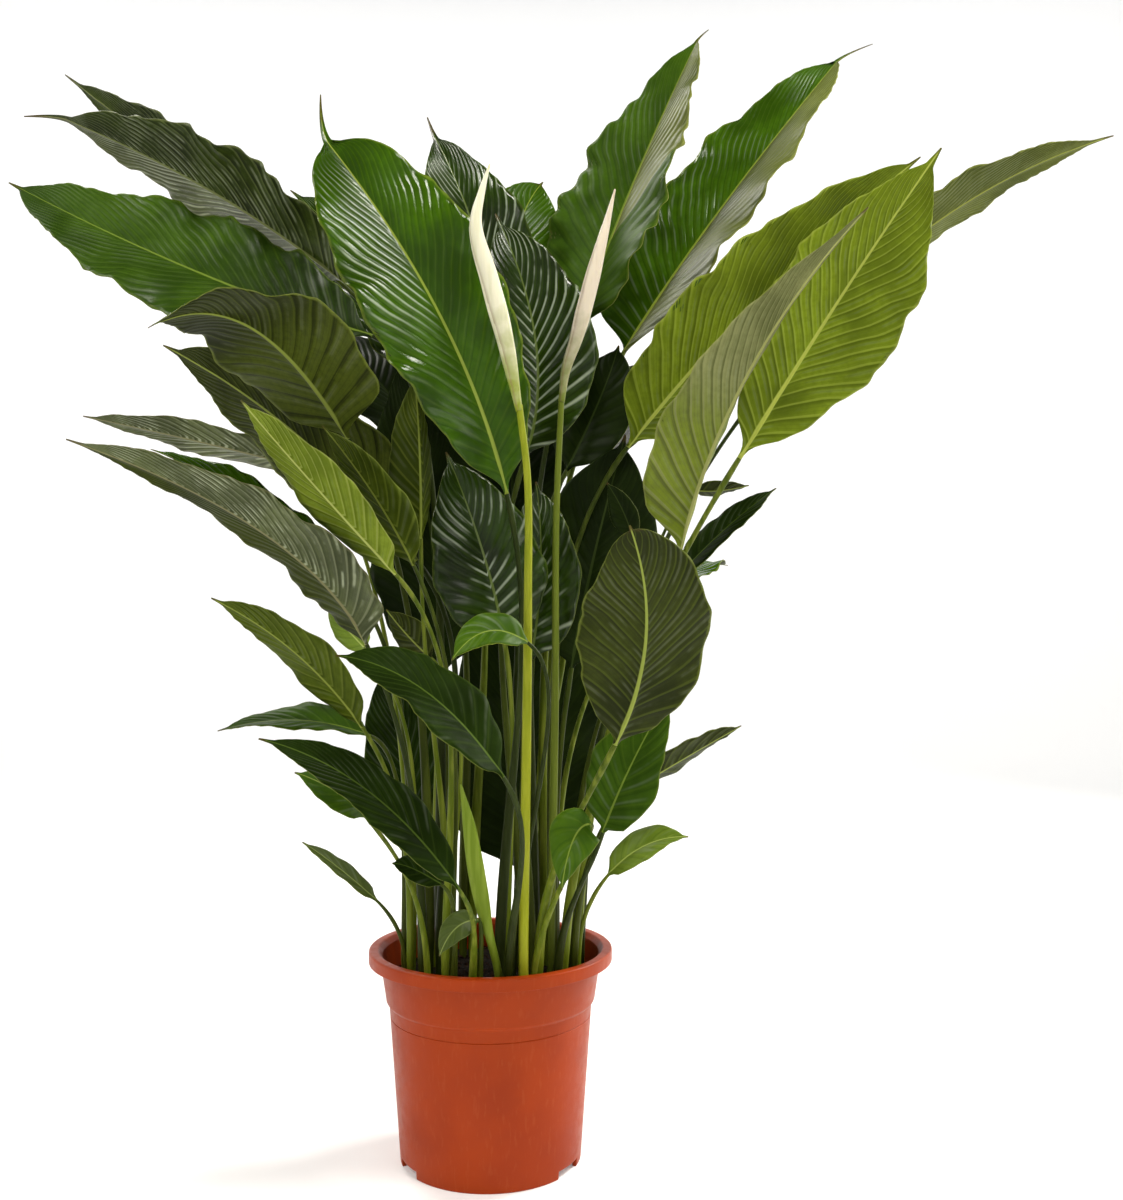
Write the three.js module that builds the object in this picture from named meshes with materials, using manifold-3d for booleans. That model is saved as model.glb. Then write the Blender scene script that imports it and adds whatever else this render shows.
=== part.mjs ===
// A potted peace lily: a plastic nursery pot filled with soil, two furled blooms on their stalks,
// and a fan of long pointed leaves, each on its own stem. Millimetres, +Z up. The origin is the
// middle of the pot's underside, and -Y is the front.
import * as THREE from "three";
import * as BufferGeometryUtils from "three/addons/utils/BufferGeometryUtils.js";
import Module from "manifold-3d";

const wasm = await Module();
wasm.setup();

// ---- driving dimensions of the pot ----
const POT_HEIGHT = 207;
const RIM_RADIUS = 120;
const RIM_DROP = 12;
const RIM_INNER_RADIUS = 111;
const RIM_SKIRT = 1.8;
const RIM_ROUND = 1.6;
const WALL = 2;
const BAND_HEIGHT = 38;
const BAND_TOP_RADIUS = 108.5;
const BAND_FOOT_RADIUS = 103;
const BODY_TOP_RADIUS = 100;
const STEP_HEIGHT = 3;
const LINE_DROP = 12;
const LINE_DEPTH = 0.8;
const FOOT_RADIUS = 89;
const FOOT_WIDTH = 4;
const FLOOR_LIFT = 8;
const PAD_RADIUS = 30;
const NOTCH_COUNT = 3;
const NOTCH_WIDTH = 34;
const NOTCH_HEIGHT = 7.5;
const NOTCH_FIRST_ANGLE = -30;
const ROUND_SIDES = 40;

// ---- driving dimensions of the soil ----
const SOIL_TOP = 180;
const SOIL_GAP = 0.3;
const SOIL_BUMP = 3;
const SOIL_RING_STEPS = [0.97, 0.78, 0.58, 0.38, 0.18];

// ---- driving dimensions of the plant ----
const HOLE_DEPTH = 17;
const STEM_SINK = 16;
const STEM_STRAIGHT = 5;
const HOLE_CLEARANCE = 0.45;
const BLADE_THICKNESS = 0.9;
const BLADE_BODY = 0.95;
const BLADE_BELLY = 0.42;
const BLADE_FULLNESS = 0.7;
const COLLAR = 0.1;
const TAIL_RADIUS = 1.4;
const TIP_RADIUS = 0.7;
const RIB_DEPTH = 2.4;
const RIB_HALF_WIDTH = 0.16;
const WAVE_PITCH = 88;
const WAVE_SHARE = 0.04;
const BIG_LEAF_WIDTH = 105;
const FOOT_REACH = 0.4;
const NECK_REACH = 0.35;
const ROOT_LEAST = 26;
const ROOT_MOST = 90;
const ROOT_PER_LEAN = 140;
const STEM_GAP = 1.2;
const FULL_WIDTH = 130;
const STEM_RADII = [2.2, 4];
const NECK_RADII = [1.2, 2.8];
const BLADE_FOLD = 14;
const BLADE_DROOP = 0.08;
const MARGIN_SHIFT = 2.4;
const SPREAD_ROUNDS = 80;
const SPREAD_STEP = 0.25;
const SPREAD_LEVELS = 12;
const SPREAD_RISE = 35;
const SPREAD_REACH = 0.75;
const TRACK_STEPS = 24;

const rad = THREE.MathUtils.degToRad;
const lerp = THREE.MathUtils.lerp;
const smoothstep = THREE.MathUtils.smoothstep;

const COLOURS = {
  pot: new THREE.MeshStandardMaterial({ color: "#b8502a", roughness: 0.45, metalness: 0 }),
  soil: new THREE.MeshStandardMaterial({ color: "#2b1d14", roughness: 0.95, metalness: 0 }),
  dark: new THREE.MeshStandardMaterial({ color: "#2f5a16", roughness: 0.35, metalness: 0 }),
  green: new THREE.MeshStandardMaterial({ color: "#4d7a1c", roughness: 0.4, metalness: 0 }),
  bright: new THREE.MeshStandardMaterial({ color: "#93ad33", roughness: 0.45, metalness: 0 }),
  olive: new THREE.MeshStandardMaterial({ color: "#66703a", roughness: 0.5, metalness: 0 }),
  stalk: new THREE.MeshStandardMaterial({ color: "#c3ca3a", roughness: 0.5, metalness: 0 }),
  bloom: new THREE.MeshStandardMaterial({ color: "#f3eedd", roughness: 0.5, metalness: 0 }),
};

const lily = new THREE.Group();

function add(name, geometry, material) {
  const mesh = new THREE.Mesh(geometry, material);
  mesh.name = name;
  lily.add(mesh);
}

// A repeatable random number from 0 to 1 for each call.
function seeded(seed) {
  let state = seed;
  return () => {
    state = (state * 16807) % 2147483647;
    return state / 2147483647;
  };
}

// ---- joining and cutting ----
function toSolid(geometry) {
  const bare = geometry.clone();
  bare.deleteAttribute("normal");
  bare.deleteAttribute("uv");
  const merged = BufferGeometryUtils.mergeVertices(bare, 1e-3);
  return new wasm.Manifold(
    new wasm.Mesh({
      numProp: 3,
      vertProperties: new Float32Array(merged.attributes.position.array),
      triVerts: new Uint32Array(merged.index.array),
    }),
  );
}

function toGeometry(solid) {
  const mesh = solid.getMesh();
  const geometry = new THREE.BufferGeometry();
  geometry.setAttribute("position", new THREE.BufferAttribute(mesh.vertProperties, 3));
  geometry.setIndex(new THREE.BufferAttribute(mesh.triVerts, 1));
  return geometry;
}

function latheSolid(profile) {
  return toSolid(new THREE.LatheGeometry(profile.map(([r, z]) => new THREE.Vector2(r, z)), ROUND_SIDES)
    .rotateX(Math.PI / 2));
}

// ---- the pot ----
const bandTop = POT_HEIGHT - RIM_DROP;
const bandFoot = bandTop - BAND_HEIGHT;
const bodyTop = bandFoot - STEP_HEIGHT;
const bodyLine = bodyTop - LINE_DROP;

function bodyRadius(z) {
  return lerp(FOOT_RADIUS, BODY_TOP_RADIUS, z / bodyTop);
}

function makePot() {
  const floorTop = FLOOR_LIFT + WALL;
  const rimTop = POT_HEIGHT - WALL;
  const profile = [
    [0, 0],
    [PAD_RADIUS, 0],
    [PAD_RADIUS + 1, FLOOR_LIFT],
    [FOOT_RADIUS - FOOT_WIDTH, FLOOR_LIFT],
    [FOOT_RADIUS - FOOT_WIDTH, 0],
    [FOOT_RADIUS, 0],
    [bodyRadius(bodyLine) - LINE_DEPTH, bodyLine],
    [bodyRadius(bodyLine), bodyLine + 1],
    [BODY_TOP_RADIUS, bodyTop],
    [BAND_FOOT_RADIUS, bandFoot],
    [BAND_TOP_RADIUS, bandTop],
    [BAND_TOP_RADIUS, rimTop - 1],
    [RIM_RADIUS - RIM_SKIRT, rimTop - 1],
    [RIM_RADIUS - RIM_SKIRT, bandTop],
    [RIM_RADIUS, bandTop],
    [RIM_RADIUS, POT_HEIGHT - RIM_ROUND],
    [RIM_RADIUS - RIM_ROUND, POT_HEIGHT],
    [RIM_INNER_RADIUS, POT_HEIGHT],
    [BAND_TOP_RADIUS - WALL, rimTop - 3],
    [BAND_FOOT_RADIUS - WALL, bandFoot + 2],
    [BODY_TOP_RADIUS - WALL, bodyTop],
    [bodyRadius(floorTop) - WALL, floorTop],
    [PAD_RADIUS - 1, floorTop],
    [PAD_RADIUS - 2, WALL],
    [0, WALL],
  ];
  let pot = latheSolid(profile);
  for (let i = 0; i < NOTCH_COUNT; i++) {
    const notch = new THREE.BoxGeometry(4 * FOOT_WIDTH, NOTCH_WIDTH, 2 * NOTCH_HEIGHT);
    notch.translate(FOOT_RADIUS - FOOT_WIDTH, 0, 0);
    notch.rotateZ(rad(NOTCH_FIRST_ANGLE + (i * 360) / NOTCH_COUNT));
    pot = pot.subtract(toSolid(notch));
  }
  add("pot", toGeometry(pot), COLOURS.pot);
}

// ---- the soil: it fills the pot, with a lumpy top and a plain hole for each stem ----
function soilRadius(z) {
  if (z > bodyTop) {
    const share = (z - bodyTop) / (POT_HEIGHT - WALL - 3 - bodyTop);
    return lerp(BODY_TOP_RADIUS, BAND_TOP_RADIUS, share) - WALL - 2 * SOIL_GAP;
  }
  return bodyRadius(z) - WALL - SOIL_GAP;
}

function makeSoil(holes) {
  const random = seeded(41);
  const floorTop = FLOOR_LIFT + WALL + SOIL_GAP;
  const outline = [
    [PAD_RADIUS - 2 - SOIL_GAP, WALL + SOIL_GAP],
    [PAD_RADIUS - 1 - SOIL_GAP, floorTop],
    [soilRadius(floorTop), floorTop],
    [soilRadius(bodyTop), bodyTop],
    [soilRadius(SOIL_TOP), SOIL_TOP - SOIL_BUMP],
  ];
  const rings = outline.map(([radius, z]) => soilRing(radius, () => z));
  for (const share of SOIL_RING_STEPS) {
    rings.push(soilRing(share * soilRadius(SOIL_TOP), () => SOIL_TOP + SOIL_BUMP * (random() - 0.5)));
  }
  const positions = [new THREE.Vector3(0, 0, WALL + SOIL_GAP), ...rings.flat(), new THREE.Vector3(0, 0, SOIL_TOP)];
  const last = positions.length - 1;
  const triangles = [];
  for (let j = 0; j < ROUND_SIDES; j++) {
    const k = (j + 1) % ROUND_SIDES;
    triangles.push(0, 1 + k, 1 + j);
    for (let i = 0; i < rings.length - 1; i++) {
      const low = 1 + i * ROUND_SIDES;
      const high = low + ROUND_SIDES;
      triangles.push(low + j, low + k, high + k, low + j, high + k, high + j);
    }
    const top = 1 + (rings.length - 1) * ROUND_SIDES;
    triangles.push(top + j, top + k, last);
  }
  let soil = toSolid(indexed(positions, triangles));
  for (const hole of holes) {
    soil = soil.subtract(hole);
  }
  add("soil", toGeometry(soil), COLOURS.soil);
}

function soilRing(radius, height) {
  const ring = [];
  for (let j = 0; j < ROUND_SIDES; j++) {
    const angle = (j / ROUND_SIDES) * 2 * Math.PI;
    ring.push(new THREE.Vector3(radius * Math.cos(angle), radius * Math.sin(angle), height()));
  }
  return ring;
}

function indexed(points, triangles) {
  const geometry = new THREE.BufferGeometry();
  const flat = points.flatMap((p) => [p.x, p.y, p.z]);
  geometry.setAttribute("position", new THREE.Float32BufferAttribute(flat, 3));
  geometry.setIndex(triangles);
  return geometry;
}

// ---- lofts: rings of an even number of points, the first half along the upper face ----
// The faces above and below are split along the same diagonals, so a thin waved blade never
// crosses itself.
function loft(rings) {
  const count = rings[0].length;
  const half = count / 2;
  const triangles = [];
  for (let i = 0; i < rings.length - 1; i++) {
    for (let p = 0; p < count; p++) {
      const q = (p + 1) % count;
      const [a, b] = [i * count + p, i * count + q];
      const [c, d] = [a + count, b + count];
      if (p < half) {
        triangles.push(a, b, d, a, d, c);
      } else {
        triangles.push(a, b, c, b, d, c);
      }
    }
  }
  const end = (rings.length - 1) * count;
  for (let p = 0; p < half - 1; p++) {
    const [a, b, c, d] = [p, p + 1, count - 2 - p, count - 1 - p];
    triangles.push(a, c, b, a, d, c);
    triangles.push(end + a, end + b, end + c, end + a, end + c, end + d);
  }
  return indexed(rings.flat(), triangles);
}

// Points of a round section of count points, numbered as the blade's are.
function roundSection(count, radius) {
  const points = [];
  for (let p = 0; p < count; p++) {
    const angle = Math.PI - ((p + 0.5) * 2 * Math.PI) / count;
    points.push([radius * Math.cos(angle), radius * Math.sin(angle)]);
  }
  return points;
}

function placeSection(points, centre, side, normal) {
  return points.map(([x, z]) => centre.clone().addScaledVector(side, x).addScaledVector(normal, z));
}

function across(direction, tangent) {
  return direction.clone().addScaledVector(tangent, -direction.dot(tangent)).normalize();
}

// ---- leaves ----
// Half the width along the blade, as a share of its greatest: a full oval that ends in a thin tail.
function bladeShape(leaf, u) {
  const body = Math.min(u / leaf.body, 1);
  const power = Math.log(0.5) / Math.log(leaf.belly);
  return Math.sin(Math.PI * body ** power) ** leaf.full || 0;
}

function bladeSection(leaf, count, u) {
  const half = count / 2;
  const shape = bladeShape(leaf, u);
  const width = Math.max((leaf.width / 2) * shape, lerp(TAIL_RADIUS, TIP_RADIUS, u));
  const collar = 1 - smoothstep(u, 0, COLLAR);
  const round = roundSection(count, leaf.neck);
  const points = [];
  const waves = leaf.length / WAVE_PITCH;
  for (let p = 0; p < count; p++) {
    const top = p < half;
    const row = top ? p : count - 1 - p;
    const v = (2 * row) / (half - 1) - 1;
    const sideways = Math.abs(v) * width;
    const tilt = rad(v < 0 ? leaf.fold[0] : leaf.fold[1]);
    const turns = 2 * Math.PI * waves * u + leaf.phase + (v < 0 ? MARGIN_SHIFT : 0);
    const wave = leaf.wave * shape * v * v * Math.sin(turns);
    const rise = sideways * Math.sin(tilt) - BLADE_DROOP * sideways * Math.abs(v) + wave;
    const near = Math.max(0, 1 - Math.abs(v) / RIB_HALF_WIDTH) * Math.min(1, shape * 3);
    const rib = top ? 0 : RIB_DEPTH * (1 - u) * near;
    const thick = (BLADE_THICKNESS / 2) / Math.max(0.35, Math.cos(tilt));
    const x = v * width * Math.cos(tilt);
    const z = rise + (top ? thick : -thick - rib);
    points.push([lerp(x, round[p][0], collar), lerp(z, round[p][1], collar)]);
  }
  return points;
}

function bladeCurve(leaf) {
  const base = new THREE.Vector3(...leaf.base);
  const mid = new THREE.Vector3(...leaf.mid);
  const tip = new THREE.Vector3(...leaf.tip);
  const control = mid.clone().multiplyScalar(2).addScaledVector(base, -0.5).addScaledVector(tip, -0.5);
  return new THREE.QuadraticBezierCurve3(base, control, tip);
}

// The stem stands upright out of the soil and runs into the blade along the blade's own line.
function stemCurve(leaf) {
  const base = new THREE.Vector3(...leaf.base);
  const foot = new THREE.Vector3(leaf.root[0], leaf.root[1], SOIL_TOP + STEM_STRAIGHT);
  const start = bladeCurve(leaf).getTangent(0);
  const reach = foot.distanceTo(base);
  const along = base.clone().sub(foot).normalize().dot(start);
  const neckReach = NECK_REACH * reach * Math.max(0.2, along);
  return new THREE.CubicBezierCurve3(
    foot,
    foot.clone().setZ(foot.z + FOOT_REACH * reach),
    base.clone().addScaledVector(start, -neckReach),
    base,
  );
}

function makeLeaf(leaf) {
  const big = leaf.width >= BIG_LEAF_WIDTH;
  const count = big ? 10 : 6;
  const bladeSteps = big ? 11 : 8;
  const stemSteps = 4;
  const blade = bladeCurve(leaf);
  const stem = stemCurve(leaf);
  leaf.length = blade.getLength();
  const rings = [];
  const hint = new THREE.Vector3(...leaf.face).normalize();
  const tipHint = new THREE.Vector3(...leaf.face_tip).normalize();
  const hook = new THREE.Vector3(...leaf.hook);
  for (let i = bladeSteps; i >= 0; i--) {
    const u = i / bladeSteps;
    const tangent = blade.getTangent(u);
    const normal = across(hint.clone().lerp(tipHint, u), tangent);
    const side = tangent.clone().cross(normal);
    const tail = Math.max(0, (u - leaf.body) / (1 - leaf.body)) ** 2;
    const centre = blade.getPoint(u).addScaledVector(hook, tail);
    rings.unshift(placeSection(bladeSection(leaf, count, u), centre, side, normal));
  }
  let normal = across(hint, blade.getTangent(0));
  for (let i = stemSteps - 1; i >= 0; i--) {
    const u = i / stemSteps;
    const tangent = stem.getTangent(u);
    normal = across(normal, tangent);
    const side = tangent.clone().cross(normal);
    const radius = lerp(leaf.stem, leaf.neck, u);
    rings.unshift(placeSection(roundSection(count, radius), stem.getPoint(u), side, normal));
  }
  const sunk = stem.getPoint(0).setZ(SOIL_TOP - STEM_SINK);
  const side = new THREE.Vector3(0, 0, 1).cross(normal);
  rings.unshift(placeSection(roundSection(count, leaf.stem), sunk, side, normal));
  add(`leaf_${leaf.name}`, loft(rings), leaf.material);
}

function stemHole([x, y], radius) {
  const sides = 6;
  const hole = new THREE.CylinderGeometry(1, 1, 2 * HOLE_DEPTH, sides).rotateX(Math.PI / 2);
  const size = (radius + HOLE_CLEARANCE) / Math.cos(Math.PI / sides);
  return toSolid(hole.scale(size, size, 1).translate(x, y, SOIL_TOP));
}

// Each row: name, where the blade starts, its middle and its tip, its width, which way its upper
// side looks, and its colour.
const LEAVES = [
  // the top of the fan, left to right
  ["far_left", [-120, 20, 816], [-310, 45, 890], [-505, 60, 985], 150, [0.3, -0.85, 0.45], "dark"],
  ["high_left_front", [-155, 70, 883], [-310, 85, 990], [-480, 90, 1072], 130, [0.2, 0.5, 0.85], "olive"],
  ["high_left_back", [-185, 130, 910], [-330, 150, 1020], [-490, 170, 1145], 95, [0.2, 0.6, 0.75], "olive"],
  ["big_front", [20, -100, 645], [-45, -115, 815], [-162, -90, 990], 135, [0.1, -0.95, 0.3], "green"],
  ["behind_big", [30, 30, 720], [-10, 30, 900], [-65, 45, 1035], 125, [0.2, -0.9, 0.3], "dark"],
  ["centre_mid", [35, -20, 690], [45, -25, 800], [5, -10, 930], 120, [0, -0.95, 0.3], "dark"],
  ["centre_back", [60, 90, 745], [20, 100, 900], [50, 110, 1003], 130, [-0.2, -0.9, 0.3], "green"],
  ["crest", [85, 30, 820], [145, 40, 980], [215, 60, 1140], 165, [-0.5, -0.8, 0.3], "green"],
  ["high_right", [135, 70, 810], [242, 90, 970], [380, 110, 1148], 162, [-0.4, -0.85, 0.35], "green"],
  ["right_upper", [135, -10, 700], [262, -30, 842], [415, -40, 975], 118, [-0.2, 0.8, 0.55], "bright"],
  ["right_big", [235, -80, 680], [325, -105, 825], [408, -130, 950], 148, [-0.2, 0.95, 0.2], "bright"],
  ["right_grey", [175, -130, 590], [230, -175, 742], [326, -200, 874], 104, [-0.1, 0.95, 0.25], "olive"],
  ["far_right", [275, 60, 765], [450, 60, 937], [640, 50, 1030], 85, [-0.2, 0.45, 0.85], "olive"],
  // the left side, from the top down
  ["left_arch", [-130, -70, 700], [-200, -150, 785], [-270, -215, 770], 152, [0.35, 0.8, 0.45], "olive"],
  ["left_rib", [-72, -12, 588], [-190, -12, 712], [-323, -8, 801], 130, [0.3, 0.75, 0.5], "olive"],
  ["left_olive", [-63, -116, 579], [-98, -125, 643], [-143, -130, 703], 50, [0.3, 0.8, 0.4], "olive"],
  ["left_bright", [-75, -150, 570], [-140, -180, 645], [-200, -190, 715], 58, [0.4, 0.8, 0.4], "bright"],
  ["left_upright", [-60, -85, 605], [-60, -95, 685], [-65, -95, 755], 60, [0, 0.95, 0.15], "olive"],
  ["left_edge", [-199, 47, 688], [-311, 47, 716], [-423, 47, 740], 50, [0.1, 0.6, 0.75], "dark"],
  ["left_behind", [-150, -50, 585], [-235, -60, 650], [-315, -70, 690], 80, [0.2, -0.3, 0.9], "green"],
  ["left_silver", [-105, -120, 508], [-190, -150, 606], [-355, -170, 685], 86, [0.3, 0.6, 0.7], "olive"],
  ["left_folded", [-115, -80, 430], [-175, -90, 500], [-250, -100, 550], 60, [0.3, 0.75, 0.55], "green"],
  ["left_flat", [-110, -60, 420], [-180, -60, 435], [-255, -60, 425], 55, [0.1, -0.35, 0.95], "green"],
  ["left_low_dark", [-20, -150, 295], [-95, -180, 385], [-185, -190, 430], 50, [0.4, -0.75, 0.5], "dark"],
  ["left_low_bright", [-105, -128, 355], [-131, -136, 379], [-166, -136, 395], 38, [0.3, -0.7, 0.6], "green"],
  ["left_tiny", [-105, -60, 265], [-140, -60, 295], [-175, -60, 320], 22, [0.3, -0.5, 0.8], "olive"],
  ["middle_dark", [20, -170, 395], [-45, -190, 470], [-120, -190, 500], 75, [0.3, -0.6, 0.75], "dark"],
  ["yellow_small", [-115, -60, 502], [-132, -60, 520], [-152, -60, 541], 34, [0.3, -0.8, 0.4], "bright"],
  ["olive_small", [-54, -55, 494], [-75, -57, 515], [-96, -57, 540], 40, [0.3, 0.8, 0.4], "olive"],
  ["low_dark", [-39, -112, 291], [-64, -112, 305], [-83, -112, 310], 28, [0.2, -0.7, 0.6], "dark"],
  ["rim_small", [-6, -100, 256], [-26, -112, 251], [-40, -115, 227], 26, [0.3, -0.8, 0.5], "olive"],
  // the middle
  ["centre_dark", [15, -40, 510], [-5, -50, 595], [-40, -50, 690], 110, [0.1, -0.95, 0.3], "dark"],
  ["centre_right", [40, -20, 490], [50, -25, 580], [45, -20, 665], 85, [-0.2, -0.95, 0.2], "dark"],
  ["inner_left", [-50, 28, 472], [-66, 36, 640], [-93, 44, 815], 130, [0.1, -0.95, 0.2], "dark"],
  ["inner_right", [80, 6, 482], [103, 6, 596], [134, 6, 715], 138, [-0.1, -0.95, 0.2], "dark"],
  ["front_small", [40, -140, 510], [5, -155, 520], [-25, -160, 495], 38, [0, -0.8, 0.6], "green"],
  ["behind_bloom", [75, 48, 684], [109, 48, 756], [129, 48, 813], 85, [-0.3, -0.9, 0.3], "dark"],
  ["triangle", [139, -26, 611], [129, -30, 637], [114, -30, 663], 28, [-0.3, -0.9, 0.2], "dark"],
  // the right side, from the top down
  ["right_dark", [190, 40, 575], [240, 40, 625], [290, 40, 665], 50, [-0.3, -0.5, 0.8], "dark"],
  ["right_grey_small", [210, 60, 665], [235, 60, 665], [265, 60, 670], 30, [-0.1, 0.5, 0.9], "olive"],
  ["round_under", [115, -190, 425], [138, -235, 515], [122, -290, 602], 112, [-0.1, 0.9, 0.4], "olive"],
  ["right_low", [108, -100, 336], [134, -110, 400], [170, -110, 466], 76, [-0.4, -0.8, 0.4], "dark"],
  ["right_thin", [145, -60, 375], [195, -60, 405], [240, -60, 430], 50, [-0.2, 0.5, 0.8], "olive"],
  ["right_small", [115, -40, 285], [150, -50, 315], [190, -60, 325], 42, [-0.1, -0.6, 0.8], "green"],
  ["drooping", [95, -158, 353], [80, -175, 342], [70, -185, 301], 45, [-0.3, -0.9, 0.1], "green"],
  // the back, which the front hides
  ["back_top", [-60, 160, 780], [-145, 205, 925], [-253, 250, 1042], 130, [0.3, -0.8, 0.4], "dark"],
  ["back_left_high", [-75, 140, 700], [-150, 215, 815], [-245, 300, 880], 150, [0.4, -0.6, 0.6], "dark"],
  ["back_left_low", [-70, 112, 262], [-105, 150, 375], [-140, 205, 470], 95, [0.2, -0.8, 0.5], "dark"],
  ["back_mid_high", [20, 140, 600], [8, 240, 790], [0, 390, 900], 145, [0, -0.7, 0.7], "dark"],
  ["back_mid_low", [30, 125, 250], [30, 170, 420], [25, 215, 600], 180, [0, -0.85, 0.5], "dark"],
  ["back_right_high", [110, 130, 690], [190, 240, 810], [280, 340, 860], 140, [-0.4, -0.6, 0.6], "dark"],
  ["back_right_low", [120, 130, 490], [195, 205, 575], [272, 280, 596], 115, [-0.4, -0.5, 0.7], "green"],
];

// What a row doesn't say: fold is how far each half stands up, in degrees; belly is how far along
// the blade is widest; face_tip turns the blade towards its tip; body is the share of the blade
// before its thin tail, and hook is how far that tail bends.
const EXTRAS = {
  far_left: { belly: 0.48, body: 0.97 },
  high_left_front: { body: 0.93, hook: [-22, 0, -6] },
  big_front: { belly: 0.6, body: 0.93, full: 0.45, hook: [10, 0, 24] },
  behind_big: { hook: [-3, 0, 12] },
  centre_mid: { belly: 0.5 },
  centre_back: { belly: 0.55, body: 0.98 },
  crest: { fold: [5, 34], belly: 0.36, body: 0.97 },
  high_right: { fold: [5, 40], belly: 0.42, full: 0.5, hook: [22, 0, 4] },
  right_big: { belly: 0.5, full: 0.85, fold: [8, 52] },
  right_grey: { fold: [75, 5], belly: 0.27, full: 1.1, body: 0.97 },
  right_upper: { belly: 0.4, body: 0.97 },
  inner_left: { fold: [6, 6] },
  inner_right: { fold: [6, 6] },
  behind_bloom: { fold: [6, 6] },
  left_arch: { face_tip: [0, 0.2, 1], belly: 0.35, full: 0.72, body: 0.97, fold: [3, 12] },
  left_silver: { belly: 0.33, body: 0.97 },
  left_upright: { fold: [78, 10] },
  round_under: { belly: 0.5, body: 0.98, full: 0.6 },
  back_mid_low: { full: 0.45 },
};

// Where a stem leaves the soil: on its blade's side, further out the more the stem leans.
function rootOf([x, y, z]) {
  const distance = Math.hypot(x, y);
  const radius = Math.min(ROOT_MOST, ROOT_LEAST + ROOT_PER_LEAN * (distance / (z - SOIL_TOP)));
  return [(x / distance) * radius, (y / distance) * radius];
}

function readLeaves() {
  const random = seeded(7);
  return LEAVES.map(([name, base, mid, tip, width, face, tone]) => {
    const share = Math.min(1, width / FULL_WIDTH);
    return {
      name,
      base,
      mid,
      tip,
      width,
      face,
      face_tip: face,
      hook: [0, 0, 0],
      body: BLADE_BODY,
      belly: BLADE_BELLY,
      full: BLADE_FULLNESS,
      root: rootOf(base),
      fold: [BLADE_FOLD, BLADE_FOLD],
      wave: width * WAVE_SHARE,
      phase: 2 * Math.PI * random(),
      stem: lerp(...STEM_RADII, share),
      neck: lerp(...NECK_RADII, share),
      material: COLOURS[tone],
      ...EXTRAS[name],
    };
  });
}

// Where a curve passes each of the levels at which stems are kept apart, and null above its end.
function track(curve) {
  const points = curve.getPoints(TRACK_STEPS);
  const places = [];
  for (let level = 0; level < SPREAD_LEVELS; level++) {
    const z = SOIL_TOP + STEM_STRAIGHT + level * SPREAD_RISE;
    const next = points.findIndex((p) => p.z >= z);
    const far = next > SPREAD_REACH * TRACK_STEPS;
    if (next < 0 || far) {
      places.push(null);
    } else {
      const before = points[Math.max(0, next - 1)];
      const share = next === 0 ? 0 : (z - before.z) / (points[next].z - before.z);
      places.push(before.clone().lerp(points[next], share));
    }
  }
  return places;
}

// Stems that would stand in each other are pushed apart at their feet, a little in each round.
function spreadRoots(leaves, rods) {
  const fixed = rods.map(({ points, radii }) => ({
    stem: Math.max(...radii),
    places: track(new THREE.CatmullRomCurve3(points.slice(1).map((p) => new THREE.Vector3(...p)))),
  }));
  for (let round = 0; round < SPREAD_ROUNDS; round++) {
    const free = leaves.map((leaf) => ({ leaf, stem: leaf.stem, places: track(stemCurve(leaf)) }));
    const all = [...free, ...fixed];
    for (let i = 0; i < leaves.length; i++) {
      for (let j = i + 1; j < all.length; j++) {
        pushApart(all[i], all[j]);
      }
    }
    for (const leaf of leaves) {
      const distance = Math.hypot(leaf.root[0], leaf.root[1]);
      const limit = Math.min(1, ROOT_MOST / distance);
      leaf.root = [leaf.root[0] * limit, leaf.root[1] * limit];
    }
  }
}

function pushApart(one, other) {
  for (let level = 0; level < SPREAD_LEVELS; level++) {
    const [p, q] = [one.places[level], other.places[level]];
    if (!p || !q) {
      continue;
    }
    const apart = Math.max(0.01, Math.hypot(p.x - q.x, p.y - q.y));
    const push = one.stem + other.stem + STEM_GAP - apart;
    if (push > 0) {
      const step = (SPREAD_STEP * push) / apart;
      const move = [(p.x - q.x) * step, (p.y - q.y) * step];
      one.leaf.root = [one.leaf.root[0] + move[0], one.leaf.root[1] + move[1]];
      if (other.leaf) {
        other.leaf.root = [other.leaf.root[0] - move[0], other.leaf.root[1] - move[1]];
      }
    }
  }
}

// ---- the stalks and blooms ----
// A round rod along a curve through points, its radius following radii at even steps.
function rodRings(points, radii, sides, steps) {
  const curve = new THREE.CatmullRomCurve3(points.map((p) => new THREE.Vector3(...p)), false, "centripetal");
  const rings = [];
  let normal = new THREE.Vector3(0, -1, 0);
  for (let i = 0; i <= steps; i++) {
    const u = i / steps;
    const tangent = curve.getTangentAt(u);
    normal = across(normal, tangent);
    const place = u * (radii.length - 1);
    const low = Math.min(Math.floor(place), radii.length - 2);
    const radius = lerp(radii[low], radii[low + 1], place - low);
    rings.push(placeSection(roundSection(sides, radius), curve.getPointAt(u), tangent.clone().cross(normal), normal));
  }
  return rings;
}

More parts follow.
